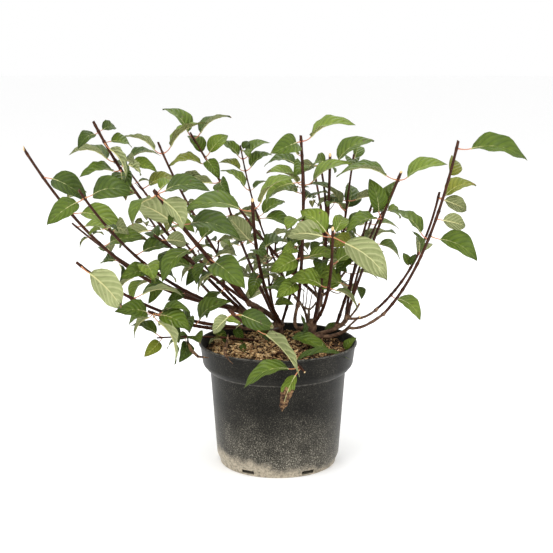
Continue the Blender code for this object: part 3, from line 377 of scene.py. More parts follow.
def path_point(row, t):
    """Point of a limb at share t of its curve, which passes its middle at one half."""
    start, middle, end = Vector(row.start), Vector(row.middle), Vector(row.end)
    control = 2 * middle - (start + end) / 2
    return (1 - t) ** 2 * start + 2 * t * (1 - t) * control + t * t * end


def path_direction(row, t):
    """Direction of a limb's curve at share t."""
    step = 0.01
    return (path_point(row, t + step) - path_point(row, t - step)).normalized()


def radius_at(row, t):
    """Radius of a limb or a shoot at share t."""
    foot, end = row.radii if isinstance(row, Shoot) else (row.start_radius, row.end_radius)
    return foot * (1 - t) + end * t


def across(direction):
    """Level vector across a direction, and the one square to both."""
    side = direction.cross(UP)
    if side.length < 0.05:
        side = Vector((1.0, 0.0, 0.0))
    side.normalize()
    return side, side.cross(direction).normalized()


def direction_of(heading, rise):
    """Unit vector of a heading and a rise."""
    a, b = math.radians(heading), math.radians(rise)
    return Vector((math.cos(b) * math.cos(a), math.cos(b) * math.sin(a), math.sin(b)))


def leaf_frame(leaf_direction, roll):
    """Side and upper direction of a blade, rolled about its own length."""
    side, top = across(leaf_direction)
    turn = Matrix.Rotation(math.radians(roll), 3, leaf_direction)
    return turn @ side, turn @ top


# The rule by which leaves grow on the frame's shoots

def top_share(shoot):
    """Share of a shoot's curve at its top pair, a little below the pruned tip."""
    return 1 - TIP_BARE / (Vector(shoot.end) - Vector(shoot.start)).length


def node_share(shoot, pair):
    """Share of a shoot's curve at which a pair of leaves stands."""
    if shoot.pairs == 1:
        return shoot.first
    return shoot.first + (top_share(shoot) - shoot.first) * pair / (shoot.pairs - 1)


def shown_leaf(shoot, numbers, attempt):
    """One leaf that shows plainly, eased a little aside where it would touch something."""
    along, heading, rise, length, face = numbers
    draw = random.Random(f"{shoot.name} shown {along} {heading} {attempt}")
    wander = SHOWN_WANDER_STEP * attempt
    heading += draw.uniform(-wander, wander)
    rise += draw.uniform(-wander, wander)
    along = min(along, top_share(shoot))
    to_viewer = -1.0 if math.sin(math.radians(heading + 90)) < 0 else 1.0
    size = length * (1 - SHOWN_SHRINK_STEP * attempt)
    return Leaf(along, heading, rise, size, face * to_viewer)


def rule_leaf(shoot, key, along, turn, length, attempt):
    """One leaf by the rule: crosswise pairs that lean out, droop and turn their faces outwards."""
    draw = random.Random(f"{shoot.name} {key} {attempt}")
    stem = path_direction(shoot, along)
    side, top = across(stem)
    angle = math.radians(turn + draw.uniform(-TURN_SPREAD, TURN_SPREAD))
    out = side * math.cos(angle) + top * math.sin(angle)
    lean = out * LEAN_OUT + stem * draw.uniform(*LEAN_UP)
    level = math.hypot(lean.x, lean.y)
    heading = math.degrees(math.atan2(lean.y, lean.x))
    climb = math.degrees(math.atan2(lean.z, max(level, LEVEL_LEAST)))
    rise = climb * CLIMB_SHARE - draw.uniform(0, DROOP)
    wander = 0 if attempt == 0 else WANDER_FIRST + WANDER_STEP * attempt
    heading += draw.uniform(-wander, wander)
    rise = max(-STEEPEST_HANG, rise + draw.uniform(-wander, wander) * WANDER_RISE_SHARE)
    size = length * draw.uniform(*SIZE_SPREAD) * (1 - SHRINK_STEP * attempt)
    outward = path_point(shoot, along) - CROWN_AXIS
    outward.z = 0.0
    blade_side = across(direction_of(heading, rise))[0]
    tilt = LEAF_TILT * blade_side.dot(outward.normalized())
    tilt += draw.uniform(-TILT_SPREAD, TILT_SPREAD)
    return Leaf(along, heading, rise, size, tilt)


def leaf_size(shoot, pair):
    """Length of the leaves of a pair: smaller at the foot and just below the tip."""
    share = pair / max(shoot.pairs - 1, 1)
    swell = math.sin(math.pi * (0.15 + 0.75 * share))
    return shoot.length * (FOOT_LEAF_SHARE + SIZE_SWELL * swell)


def sprout_row(shoot, pair, side):
    """Short side twig in the axil of one leaf of a pair, as a limb of its own."""
    draw = random.Random(f"{shoot.name} sprout {pair} {side}")
    along = node_share(shoot, pair)
    stem = path_direction(shoot, along)
    across_side, top = across(stem)
    angle = math.radians(shoot.turn + 90 * pair + 180 * side)
    angle += math.radians(draw.uniform(-SPROUT_TURN_SPREAD, SPROUT_TURN_SPREAD))
    out = across_side * math.cos(angle) + top * math.sin(angle)
    start = path_point(shoot, along) + stem * SPROUT_LIFT
    reach = draw.uniform(*SPROUT_REACH)
    end = start + (out * 0.65 + stem * 0.75 + UP * 0.2).normalized() * reach
    middle = (start + end) / 2 + out * reach * 0.08
    radius = SPROUT_RADIUS_SHARE * radius_at(shoot, along)
    return Limb("sprout", shoot.name, start, middle, end, radius, radius * 0.85)


def blade_foot(row, leaf):
    """Foot of a blade, its directions along, across and up, and the way its stalk leaves the stem."""
    root = path_point(row, leaf.along)
    stem = path_direction(row, leaf.along)
    along = direction_of(leaf.heading, leaf.rise)
    side, top = leaf_frame(along, leaf.roll)
    out = (along - stem * along.dot(stem) * 0.4).normalized()
    stalk = leaf.length * PETIOLE_SHARE
    return root + out * stalk + top * stalk * 0.15, along, side, top, out


def blade_tip(row, leaf):
    """Tip of a blade in the frame."""
    foot, along, side, top, out = blade_foot(row, leaf)
    blade = leaf.length * (1 - PETIOLE_SHARE)
    return foot + along * blade - top * blade * LEAF_TIP_DROP


def corners_of(node):
    """Search tree of a CAD node's corners."""
    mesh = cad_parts[node].data
    tree = KDTree(len(mesh.vertices))
    for i, corner in enumerate(mesh.vertices):
        tree.insert(corner.co, i)
    tree.balance()
    return tree


def find_leaves():
    """The leaves and side twigs that stand on each of the frame's shoots."""
    leaves, twigs = {}, {}
    for shoot in SHOOTS:
        corners = corners_of(shoot.name)

        def standing(row, options, tone=None):
            for option in options:
                if corners.find(blade_tip(row, option) * MM)[2] < TIP_MATCH * MM:
                    return [(row, option, tone)]
            return []

        found = []
        tones = SEEN_TONES.get(shoot.name, {})
        for place, numbers in enumerate(SHOWN.get(shoot.name, ())):
            options = [shown_leaf(shoot, numbers, k) for k in range(TRIES)]
            found += standing(shoot, options, tones.get(place))
        for pair in range(shoot.pairs):
            along, size = node_share(shoot, pair), leaf_size(shoot, pair)
            for side in range(2):
                turn = shoot.turn + 90 * pair + 180 * side
                found += standing(shoot, [rule_leaf(shoot, f"{pair} {side}", along, turn, size, k)
                                          for k in range(TRIES)])
        sprouts = []
        for pair in range(shoot.sprouts):
            twig = sprout_row(shoot, pair, pair % 2)
            sprouts.append(twig)
            for side in range(2):
                turn = shoot.turn + 90 * pair + 90 + 180 * side
                size = shoot.length * SPROUT_LEAF_SHARE
                found += standing(twig, [rule_leaf(shoot, f"sprout {pair} {side}", 0.9, turn, size, k)
                                         for k in range(TRIES)])
        found += [(shoot, Leaf(*row[1:6]), row[6]) for row in SMALL_LEAVES if row[0] == shoot.name]
        leaves[shoot.name] = found
        twigs[shoot.name] = sprouts
    return leaves, twigs


# Finishes

VEIN_PAIRS = 6.0
VEIN_SWEEP = 0.36
VEIN_BEND = 1.3


def colour(code):
    """Linear colour of an sRGB hex code."""
    parts = [int(code[i:i + 2], 16) / 255 for i in (0, 2, 4)]
    return [c / 12.92 if c < 0.04045 else ((c + 0.055) / 1.055) ** 2.4 for c in parts] + [1.0]


def feed(node, inputs):
    """Sets inputs of a node, or links those whose value is another node's socket."""
    for place, value in inputs.items():
        socket = node.inputs[place]
        if isinstance(value, bpy.types.NodeSocket):
            node.id_data.links.new(value, socket)
        else:
            socket.default_value = value


def add(tree, kind, inputs, output=0, stops=(), **settings):
    """Adds a shader node with its inputs, settings and colour stops, and gives one of its outputs."""
    node = tree.nodes.new("ShaderNode" + kind)
    for name, value in settings.items():
        setattr(node, name, value)
    feed(node, inputs)
    for i, (place, tone) in enumerate(stops):
        if i > 1:
            node.color_ramp.elements.new(place)
        element = node.color_ramp.elements[i]
        element.position = place
        element.color = colour(tone) if isinstance(tone, str) else (tone, tone, tone, 1.0)
    return node.outputs[output]


def start_finish(name, roughness, specular):
    """A new finish, the adder of its nodes, its shader and its Object coordinates."""
    made = bpy.data.materials.new(name)
    made.use_nodes = True
    node = partial(add, made.node_tree)
    shader = made.node_tree.nodes["Principled BSDF"]
    feed(shader, {"Roughness": roughness, "Specular IOR Level": specular})
    return made, node, shader, node("TexCoord", {}, "Object")


def lumps(place, size, detail=3.0, roughness=0.55):
    """Inputs of a noise whose lumps are about size millimetres across."""
    return {"Vector": place, "Scale": 1000.0 / size, "Detail": detail, "Roughness": roughness}


def dogwood_leaf(name, tones, vein, rib, underside=False):
    """Leaf blade: veins that curve along the margin are sunk in the waxy upper face and stand
    proud on the pale matt underside, so each half looks quilted."""
    made, node, shader, place = start_finish(name, 0.74 if underside else 0.46, 0.28)
    aside = node("SeparateXYZ", {0: node("UVMap", {}, uv_map="blade")})
    along = aside.node.outputs[1]
    away = node("Math", {0: aside, 1: 2.0, 2: -1.0}, operation="MULTIPLY_ADD")
    away = node("Math", {0: away}, operation="ABSOLUTE")
    curve = node("Math", {0: away, 1: VEIN_BEND}, operation="POWER")
    swept = node("Math", {0: curve, 1: -VEIN_SWEEP, 2: along}, operation="MULTIPLY_ADD")
    phase = node("Math", {0: swept, 1: VEIN_PAIRS}, operation="MULTIPLY")
    phase = node("Math", {0: phase}, operation="FRACT")
    pleat = node("Math", {0: phase, 1: 0.5}, operation="SUBTRACT")
    pleat = node("Math", {0: pleat}, operation="ABSOLUTE")
    side_vein = node("ValToRGB", {0: pleat}, stops=((0.0, 0.6), (0.07, 0.4), (0.24, 0.0)))
    midrib = node("ValToRGB", {0: away}, stops=((0.0, 0.8), (0.02, 0.6), (0.05, 0.0)))
    blotch = node("TexNoise", lumps(place, 20.0, 2.0))
    tone = node("ValToRGB", {0: blotch}, stops=((0.32, tones[0]), (0.68, tones[1])))
    tone = node("Mix", {0: side_vein, 6: tone, 7: colour(vein)}, 2, data_type="RGBA")
    tone = node("Mix", {0: midrib, 6: tone, 7: colour(rib)}, 2, data_type="RGBA")
    spots = node("TexNoise", lumps(place, 6.0, 1.0))
    spots = node("ValToRGB", {0: spots}, stops=((0.72, 0.0), (0.76, 0.6)))
    tone = node("Mix", {0: spots, 6: tone, 7: colour("5B4136")}, 2, data_type="RGBA")
    grain = node("TexNoise", lumps(place, 1.6, 2.0))
    relief = node("Math", {0: grain, 1: 0.12, 2: pleat}, operation="MULTIPLY_ADD")
    depth = -3.2 if underside else 3.2
    relief = node("Bump", {"Height": relief, "Distance": depth * MM, "Strength": 0.9})
    feed(shader, {"Base Color": tone, "Normal": relief})
    return made


def plant_tissue(name, roughness, specular, size, stops, relief, speck=None):
    """Bark, stalk, wood or dead leaf: a tone that wanders over size millimetres, with fine relief
    and, on young bark, small pale breathing pores."""
    made, node, shader, place = start_finish(name, roughness, specular)
    tone = node("TexNoise", lumps(place, size, 4.0))
    tone = node("ValToRGB", {0: tone}, stops=stops)
    if speck:
        pores = node("TexNoise", lumps(place, 1.3, 1.0))
        pores = node("ValToRGB", {0: pores}, stops=((0.66, 0.0), (0.72, 0.5)))
        tone = node("Mix", {0: pores, 6: tone, 7: colour(speck)}, 2, data_type="RGBA")
    grain = node("TexNoise", lumps(place, 1.4, 4.0))
    grain = node("Bump", {"Height": grain, "Distance": relief * MM})
    feed(shader, {"Base Color": tone, "Normal": grain})
    return made


def black_polypropylene():
    """Moulded nursery pot, used outdoors: dull black, with a fine pale speckle that thickens
    towards the foot, a worn lip and shoulder, and beige mud dried on the foot."""
    made, node, shader, place = start_finish("black_polypropylene", 0.42, 0.09)
    across = node("SeparateXYZ", {0: place})
    height = across.node.outputs[2]
    plastic = node("ValToRGB", {0: node("TexNoise", lumps(place, 60.0))},
                   stops=((0.3, "090908"), (0.7, "11110F")))
    speck = node("TexNoise", lumps(place, 1.4, 3.0, 0.7))
    speck = node("ValToRGB", {0: speck}, stops=((0.4, 0.2), (0.55, 0.5), (0.68, 3.0)))
    low = node("MapRange", {0: height, 1: 0.1, 2: 0.01, 3: 0.05, 4: 0.42})
    cloud = node("ValToRGB", {0: node("TexNoise", lumps(place, 34.0))},
                 stops=((0.34, 0.55), (0.66, 1.3)))
    dust = node("Math", {0: low, 1: cloud}, operation="MULTIPLY")
    dust = node("Math", {0: dust, 1: speck}, operation="MULTIPLY")
    tone = node("Mix", {0: dust, 6: plastic, 7: colour("B3AC9C")}, 2, data_type="RGBA")
    rub = node("ValToRGB", {0: node("TexNoise", lumps(place, 5.0, 4.0))}, stops=((0.4, 0.03), (0.7, 0.45)))
    for worn, reach in ((POT_HEIGHT - 0.6, 1.2), (SHOULDER_FOOT + 1.0, 1.3)):
        edge = node("Math", {0: height, 1: worn * MM, 2: reach * MM}, operation="COMPARE")
        edge = node("Math", {0: edge, 1: rub}, operation="MULTIPLY")
        tone = node("Mix", {0: edge, 6: tone, 7: colour("8E8A82")}, 2, data_type="RGBA")
    ragged = node("TexNoise", lumps(place, 26.0, 5.0, 0.62))
    ragged = node("Math", {0: ragged, 1: 0.03, 2: height}, operation="MULTIPLY_ADD")
    mud = node("Math", {0: across, 1: 0.10, 2: ragged}, operation="MULTIPLY_ADD")
    mud = node("MapRange", {0: mud, 1: 0.024, 2: 0.036, 3: 1.0, 4: 0.0})
    flakes = node("ValToRGB", {0: node("TexNoise", lumps(place, 4.0, 5.0, 0.75))},
                  stops=((0.36, 0.2), (0.56, 1.0)))
    mud = node("Math", {0: mud, 1: flakes}, operation="MULTIPLY")
    tone = node("Mix", {0: mud, 6: tone, 7: colour("B5AA96")}, 2, data_type="RGBA")
    grain = node("TexNoise", lumps(place, 1.5))
    grain = node("Bump", {"Height": grain, "Distance": 0.12 * MM})
    feed(shader, {"Base Color": tone, "Normal": grain, "Sheen Weight": 0.09, "Sheen Roughness": 0.3})
    return made


def build_finishes():
    """Every finish on the plant, the compost and the pot."""
    made = {
        "leaf_deep": dogwood_leaf("dogwood_leaf_deep", ("3B4D12", "4D6019"), "2E3F10", "5F6F30"),
        "leaf_mid": dogwood_leaf("dogwood_leaf_mid", ("4C6018", "5F7220"), "3A4D13", "73823A"),
        "leaf_fresh": dogwood_leaf("dogwood_leaf_fresh", ("667A26", "798B2F"), "4F631D", "93A04E"),
        "leaf_olive": dogwood_leaf("dogwood_leaf_olive", ("707A22", "86892E"), "5A611A", "A39F50"),
        "leaf_under": dogwood_leaf("dogwood_underside_pale", ("858D5B", "979E6B"), "BABD8A", "CACA9A", True),
        "leaf_under_warm": dogwood_leaf("dogwood_underside_warm", ("7C8248", "8C9155"), "AFAD6F", "C1BB80", True),
    }
    tissues = (
        ("leaf_scorched", 0.8, 0.2, 5.0, ((0.4, "33231A"), (0.5, "604631"), (0.62, "937452")), 0.8),
        ("petiole", 0.45, 0.4, 14.0, ((0.35, "C08A5A"), (0.65, "BC705C")), 0.1),
        ("midrib", 0.55, 0.3, 20.0, ((0.3, "BFC38E"), (0.7, "C9BF86")), 0.1),
        ("young_bark", 0.5, 0.16, 9.0,
         ((0.3, "2A140A"), (0.6, "452517"), (0.8, "5E3825")), 0.15, "8A684E"),
        ("old_bark", 0.75, 0.3, 7.0,
         ((0.28, "36241A"), (0.48, "5A4130"), (0.66, "80644C"), (0.84, "A08868")), 0.5),
        ("dead_bark", 0.85, 0.2, 6.0, ((0.3, "5A4A3E"), (0.55, "84705D"), (0.8, "A39180")), 0.3),
        ("cut_wood", 0.75, 0.25, 2.0, ((0.3, "D0A972"), (0.7, "EBD6A8")), 0.2),
        ("compost", 0.95, 0.1, 5.0, ((0.3, "150E09"), (0.52, "2E2016"), (0.76, "553D29")), 0.6),
        ("chip_tan", 0.9, 0.2, 3.0, ((0.36, "8F6E47"), (0.5, "C9A472"), (0.66, "EBD3A6")), 0.4),
        ("chip_brown", 0.9, 0.2, 3.0, ((0.36, "573A24"), (0.5, "8B6845"), (0.66, "B69268")), 0.4),
        ("chip_dark", 0.9, 0.2, 3.0, ((0.36, "21170F"), (0.5, "3E2C1E"), (0.66, "664C35")), 0.4),
    )
    for name, *look in tissues:
        made[name] = plant_tissue("dogwood_" + name if "chip" not in name else name, *look)
    made["pot"] = black_polypropylene()
    return made


# Making pieces

def deselect():
    """Clears the selection before a new piece is added."""
    bpy.ops.object.select_all(action="DESELECT")


def choose(*pieces):
    """Selects some pieces, the last of them the active one."""
    deselect()
    for piece in pieces:
        piece.select_set(True)
    bpy.context.view_layer.objects.active = pieces[-1]


def finish_piece(piece, name, finishes, nodes=(), degrees=40):
    """Names a piece, gives it its finishes, shades it and ties it to the frame."""
    piece.name = name
    piece.data.name = name
    if finishes:
        piece.data.materials.clear()
        for finish in finishes:
            piece.data.materials.append(finish)
    choose(piece)
    bpy.ops.object.transform_apply(location=True, rotation=True, scale=True)
    bpy.ops.object.shade_smooth_by_angle(angle=math.radians(degrees))
    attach(piece, "root")
    if nodes:
        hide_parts(*nodes)


def apply_all(piece):
    """Applies every modifier of a piece in order."""
    choose(piece)
    for modifier in list(piece.modifiers):
        bpy.ops.object.modifier_apply(modifier=modifier.name)


def roughen(piece, size, depth):
    """Cloudy relief of size millimetres across and depth millimetres deep."""
    pattern = bpy.data.textures.new("relief", "CLOUDS")
    pattern.noise_scale = size * MM
    relief = piece.modifiers.new("relief", "DISPLACE")
    relief.texture = pattern
    relief.texture_coords = "LOCAL"
    relief.strength = depth * MM
    relief.mid_level = 0.5


class Pile:
    """Points, faces, finishes and blade map of many small shapes, joined as one mesh."""

    def __init__(self):
        self.points, self.faces, self.slots, self.chart = [], [], [], []
        self.count = 0

    def put(self, points, faces, slot=0, chart=None):
        """Adds one shape; slot is a number, or a list with one for each face."""
        self.points += [tuple(point) for point in points]
        self.faces += [tuple(i + self.count for i in face) for face in faces]
        self.count += len(points)
        self.slots += slot if isinstance(slot, list) else [slot] * len(faces)
        if chart is not None:
            self.chart += [chart[i] for face in faces for i in face]

    def make(self, name, slot, finishes, nodes=(), degrees=40):
        """The joined mesh as a finished piece."""
        mesh = bpy.data.meshes.new(name)
        mesh.from_pydata((np.array(self.points) * MM).tolist(), [], self.faces)
        for finish in finishes:
            mesh.materials.append(finish)
        mesh.polygons.foreach_set("material_index", self.slots)
        if self.chart:
            layer = mesh.uv_layers.new(name="blade")
            layer.data.foreach_set("uv", np.array(self.chart, dtype=np.float32).ravel())
        mesh.update()
        piece = bpy.data.objects.new(name, mesh)
        bpy.context.scene.collection.objects.link(piece)
        finish_piece(piece, name, (), nodes, degrees)


def tube(pile, centres, radii, sides, slot=0, face=None, slope=0.0):
    """Adds a round tube through centres, with its far end cut on a slope that faces one way."""
    centres = [Vector(centre) for centre in centres]
    last = len(centres) - 1
    rings = []
    side = None
    for i, centre in enumerate(centres):
        along = (centres[min(i + 1, last)] - centres[max(i - 1, 0)]).normalized()
        if side is None:
            side = across(along)[0]
        side = (side - along * side.dot(along)).normalized()
        top = side.cross(along)
        for s in range(sides):
            a = 2 * math.pi * s / sides
            spoke = (top * math.sin(a) - side * math.cos(a)) * radii[i]
            if face and i == last:
                spoke = spoke - along * spoke.dot(face) * slope
            rings.append(centre + spoke)
    faces = []
    for i in range(last):
        for s in range(sides):
            a, b = i * sides + s, i * sides + (s + 1) % sides
            faces.append((a, b, b + sides, a + sides))
    faces.append(tuple(reversed(range(sides))))
    faces.append(tuple(last * sides + s for s in range(sides)))
    pile.put(rings, faces, slot)


# Leaves

BLADE_THICKNESS = 0.35
BLADE_STEPS = 12
BLADE_COLUMNS = {0.0: (-1.0, -0.5, 0.0, 0.5, 1.0), BLADE_THICKNESS: (-1.0, 0.0, 1.0)}
WIDTH_RISE = 0.52
WIDTH_FALL = 0.88
SLIM_ABOVE = 85.0
STALK_SHARES = (0.0, 0.12, 0.3, 0.5, 0.7, 0.88, 1.0)
STALK_RADII = (1.6, 1.15, 0.9, 0.8, 0.78, 0.85, 0.9)
WIDEST = WIDTH_RISE / (WIDTH_RISE + WIDTH_FALL)
ARCH_BEND = (LEAF_ARCH + WIDEST_AT * LEAF_TIP_DROP) / (WIDEST_AT ** 2 - WIDEST_AT)
ARCH_SLOPE = -LEAF_TIP_DROP - ARCH_BEND
UPPER_CHOICE = (DEEP, DEEP, DEEP, MID, MID, MID, MID, FRESH)
TWIGLET_LEAF = 24.0
TWIGLET_RADIUS = 0.8
TWIGLET_SHARE = 0.4


def blade_width(s):
    """Half width of a blade at share s of its length, as a share of its widest."""
    widest = WIDEST ** WIDTH_RISE * (1 - WIDEST) ** WIDTH_FALL
    return s ** WIDTH_RISE * (1 - s) ** WIDTH_FALL / widest


def grow_blade(pile, stand, length, draw, upper, scorch=2.0, slim=1.0, flat=1.0):
    """Adds a leaf blade, a thin shell folded up along its midrib, and gives the midrib's curve.

    stand is its foot and its directions along, across and up; past the share scorch it is dead
    and crumpled.
    """
    foot, along, side, top = stand
    blade = length * (1 - PETIOLE_SHARE)
    wide = length * LEAF_HALF_WIDTH * slim * draw.uniform(0.95, 1.17)
    folds = [math.radians(draw.uniform(18, 36)) for half in range(2)]
    waves, phase = draw.uniform(2.2, 3.6), draw.uniform(0, 2 * math.pi)
    wave = draw.uniform(0.008, 0.03) * blade
    twist = math.radians(draw.uniform(-20, 20))
    hook = draw.uniform(-0.12, 0.02) * flat
    bend = ARCH_BEND * flat
    lean = draw.uniform(-0.04, 0.04)
    stations = [0.03 + 0.94 * i / (BLADE_STEPS - 1) for i in range(BLADE_STEPS)]

    def centre(s):
        rise = (bend * s - LEAF_TIP_DROP - bend) * s + hook * s ** 3
        return foot + blade * (along * s + top * rise + side * lean * math.sin(math.pi * s))

    def skin(s, c, drop=0.0):
        turn = twist * s
        aside = side * math.cos(turn) + top * math.sin(turn)
        rise = top * math.cos(turn) - side * math.sin(turn)
        lift = folds[c > 0] * (1.15 - 0.4 * s) * (1.25 - 0.45 * abs(c))
        reach = c * wide * blade_width(s)
        ripple = wave * abs(c) * math.sin(2 * math.pi * waves * s + phase + (c > 0) * 1.9)
        if s > scorch:
            ripple += CRUMPLE * blade * math.sin(17 * s + 2 * c) * math.cos(5 * c - 9 * s)
        normal = rise * math.cos(lift) - aside * math.copysign(math.sin(lift), c)
        height = abs(reach) * math.sin(lift) + ripple
        return centre(s) + aside * reach * math.cos(lift) + rise * height - normal * drop

    points, chart, rows = [centre(0.0)], [(0.5, 0.0)], []
    for drop, columns in BLADE_COLUMNS.items():
        for s in stations:
            for c in columns:
                if abs(c) < 1 or drop == 0.0:
                    rows.append((drop, s, c))
                    points.append(skin(s, c, drop))
                    chart.append((0.5 + c / 2, s))
    points.append(centre(1.0))
    chart.append((0.5, 1.0))
    number = {row: i + 1 for i, row in enumerate(rows)}
    tip = len(points) - 1
    faces, slots = [], []
    lower = UNDER_WARM if upper in (FRESH, OLIVE) else UNDER
    for (drop, columns), colour_slot in zip(BLADE_COLUMNS.items(), (upper, lower)):
        def at(s, c):
            return number[0.0 if abs(c) == 1 else drop, s, c]

        for c, d in zip(columns, columns[1:]):
            strip = [(0, at(stations[0], d), at(stations[0], c))]
            for s, t in zip(stations, stations[1:]):
                strip.append((at(s, c), at(s, d), at(t, d), at(t, c)))
            strip.append((tip, at(stations[-1], c), at(stations[-1], d)))
            edge = scorch + draw.uniform(-0.08, 0.08)
            for i, face in enumerate(strip):
                faces.append(face if drop == 0.0 else face[:1] + face[:0:-1])
                slots.append(SCORCHED if i / len(strip) > edge else colour_slot)
    pile.put(points, faces, slots, chart)
    return centre


def grow_stalk(pile, row, leaf, centre):
    """Adds a leaf's arching stalk, and the midrib that runs on under its blade."""
    foot, along, side, top, out = blade_foot(row, leaf)
    root, thick = path_point(row, leaf.along), radius_at(row, leaf.along)
    size = min(1.0, leaf.length / 60.0)
    lift = (foot - root).length
    entry = (along + top * ARCH_SLOPE).normalized()
    bend = foot - entry * lift * 0.5
    root = root + (bend - root).normalized() * thick * 0.5
    arc = [(1 - t) ** 2 * root + 2 * t * (1 - t) * bend + t * t * foot for t in STALK_SHARES]
    tube(pile, arc, [r * size for r in STALK_RADII], 6, 0)
    ribs = [0.0, 0.15, 0.35, 0.55, 0.75]
    under = [centre(s) - top * 0.4 for s in ribs]
    tube(pile, under, [1.1 * size * (1 - s) + 0.12 for s in ribs], 5, 1)


def twiglets(shoot):
    """Fine twigs in the axils that the frame's side twigs leave free, each with a pair of leaves."""
    found = []
    draw = random.Random("twiglets " + shoot.name)
    for pair in range(shoot.sprouts, shoot.pairs - 1):
        if draw.random() > TWIGLET_SHARE:
            continue
        twig = sprout_row(shoot, pair, pair % 2)
        twig = twig._replace(start_radius=TWIGLET_RADIUS, end_radius=TWIGLET_RADIUS * 0.7)
        for side in range(2):
            turn = shoot.turn + 90 * pair + 90 + 180 * side
            leaf = rule_leaf(twig, f"{shoot.name} {pair} {side}", 0.95, turn, TWIGLET_LEAF, 0)
            found.append((twig, leaf, None))
    return found


def grow_foliage(finishes, leaves, fine):
    """All leaf blades as one piece, and all stalks with their midribs as another."""
    blades, stalks = Pile(), Pile()
    for shoot in SHOOTS:
        draw = random.Random("foliage " + shoot.name)
        for row, leaf, seen_tone in leaves[shoot.name] + fine[shoot.name]:
            upper = draw.choice(UPPER_CHOICE)
            share, tone = TONED.get(shoot.name, OLIVE_ELSEWHERE)
            if draw.random() < share:
                upper = tone
            if seen_tone is not None:
                upper = seen_tone
            scorch = 0.9 if draw.random() < 0.2 else 2.0
            slim = min(1.0, SLIM_ABOVE / leaf.length)
            if leaf.rise < DYING.get(shoot.name, -90):
                scorch, slim = HALF_DEAD, SHRUNK
            foot, along, side, top, out = blade_foot(row, leaf)
            centre = grow_blade(blades, (foot, along, side, top), leaf.length, draw, upper, scorch,
                                slim, FLATTER.get(shoot.name, 1.0))
            grow_stalk(stalks, row, leaf, centre)
    for name, foot, heading, rise, length, slim, roll, upper in GROUND_LEAVES:
        along = direction_of(heading, rise)
        stand = (Vector(foot), along, *leaf_frame(along, roll))
        grow_blade(blades, stand, length, random.Random(name), upper, 2.0, slim)
    names = [shoot.name for shoot in SHOOTS]
    skins = [finishes[n] for n in ("leaf_deep", "leaf_mid", "leaf_fresh", "leaf_olive",
                                   "leaf_under", "leaf_under_warm", "leaf_scorched")]
    blades.make("leaf_blades", "foliage", skins, names, 75)
    stalks.make("leaf_stalks", "foliage", [finishes["petiole"], finishes["midrib"]], names, 60)


# Shoots

NODE_SWELL = 0.22
NODE_REACH = 2.6
STEM_STEPS = 36


def cut_face(pile, row, along, radius, face, slope):
    """Adds the pale disc of a pruning cut, on a slope that faces one way."""
    end = path_point(row, 1.0)
    lift = (along + face * slope).normalized() * 0.15
    tube(pile, [end - along * 0.5 + lift, end + lift], [radius, radius], 12, 0, face, slope)


def grow_stems(finishes, leaves, fine, twigs):
    """All young stems, their side twigs, buds and pruned tips."""
    bark, cuts = Pile(), Pile()
    for shoot in SHOOTS:
        draw = random.Random("stem " + shoot.name)
        length = (Vector(shoot.end) - Vector(shoot.start)).length
        nodes = [node_share(shoot, pair) for pair in range(shoot.pairs)]
        nodes += [leaf.along for row, leaf, tone in leaves[shoot.name] if row is shoot]
        nodes = sorted({round(n, 2) for n in nodes + [0.1, 0.22]})
        shares = sorted({i / STEM_STEPS for i in range(STEM_STEPS + 1)}
                        | {min(0.99, n + d / length) for n in nodes for d in (-2.5, -1, 0, 1, 2.5)})
        centres, radii = [], []
        for t in shares:
            swell = max(math.exp(-((t - n) * length / NODE_REACH) ** 2) for n in nodes)
            centres.append(path_point(shoot, t))
            radii.append(radius_at(shoot, t) * (1 + NODE_SWELL * swell))
        heading, slope = PRUNED.get(shoot.name, (draw.uniform(0, 360), 0.35))
        face = direction_of(heading, 0)
        tube(bark, centres, radii, 9, 0, face, slope)
        if shoot.name in PRUNED:
            cut_face(cuts, shoot, path_direction(shoot, 0.99), radii[-1] * 0.9, face, slope)
        for n in nodes:
            grow_buds(bark, shoot, n, draw)
        rows = twigs[shoot.name] + [row for row, leaf, tone in fine[shoot.name][::2]]
        for twig in rows:
            steps = [i / 8 for i in range(9)]
            tube(bark, [path_point(twig, t) for t in steps],
                 [radius_at(twig, t) * (1 - 0.3 * t) for t in steps], 7)
    names = [shoot.name for shoot in SHOOTS]
    bark.make("young_stems", "foliage", [finishes["young_bark"]], names, 50)
    return cuts


def grow_buds(bark, shoot, share, draw):
    """Adds the pair of small pointed buds that lie along a stem at a node."""
    centre, stem = path_point(shoot, share), path_direction(shoot, share)
    side, top = across(stem)
    angle = draw.uniform(0, math.pi)
    for half in range(2):
        out = side * math.cos(angle + math.pi * half) + top * math.sin(angle + math.pi * half)
        foot = centre + out * radius_at(shoot, share) * 0.8
        tip = foot + stem * draw.uniform(2.5, 4.0) + out * draw.uniform(0.3, 0.9)
        tube(bark, [foot, foot.lerp(tip, 0.45) + out * 0.2, tip], [0.65, 0.65, 0.15], 5)


# Old wood

OLD_SIDES = 4
COLLAR_LENGTH = 9.0
COLLAR_SWELL = 1.5


def round_limb(centres, radii):
    """Round limb through centres, drawn as a curve with a width at each point, as a mesh."""
    deselect()
    bpy.ops.curve.primitive_nurbs_path_add()
    limb = bpy.context.object
    limb.data.splines.clear()
    line = limb.data.splines.new("POLY")
    line.points.add(len(centres) - 1)
    for point, centre, radius in zip(line.points, centres, radii):
        point.co = (*(Vector(centre) * MM), 1.0)
        point.radius = radius
    limb.data.bevel_depth = MM
    limb.data.bevel_resolution = OLD_SIDES
    limb.data.use_fill_caps = True
    bpy.ops.object.convert(target="MESH")
    return bpy.context.object


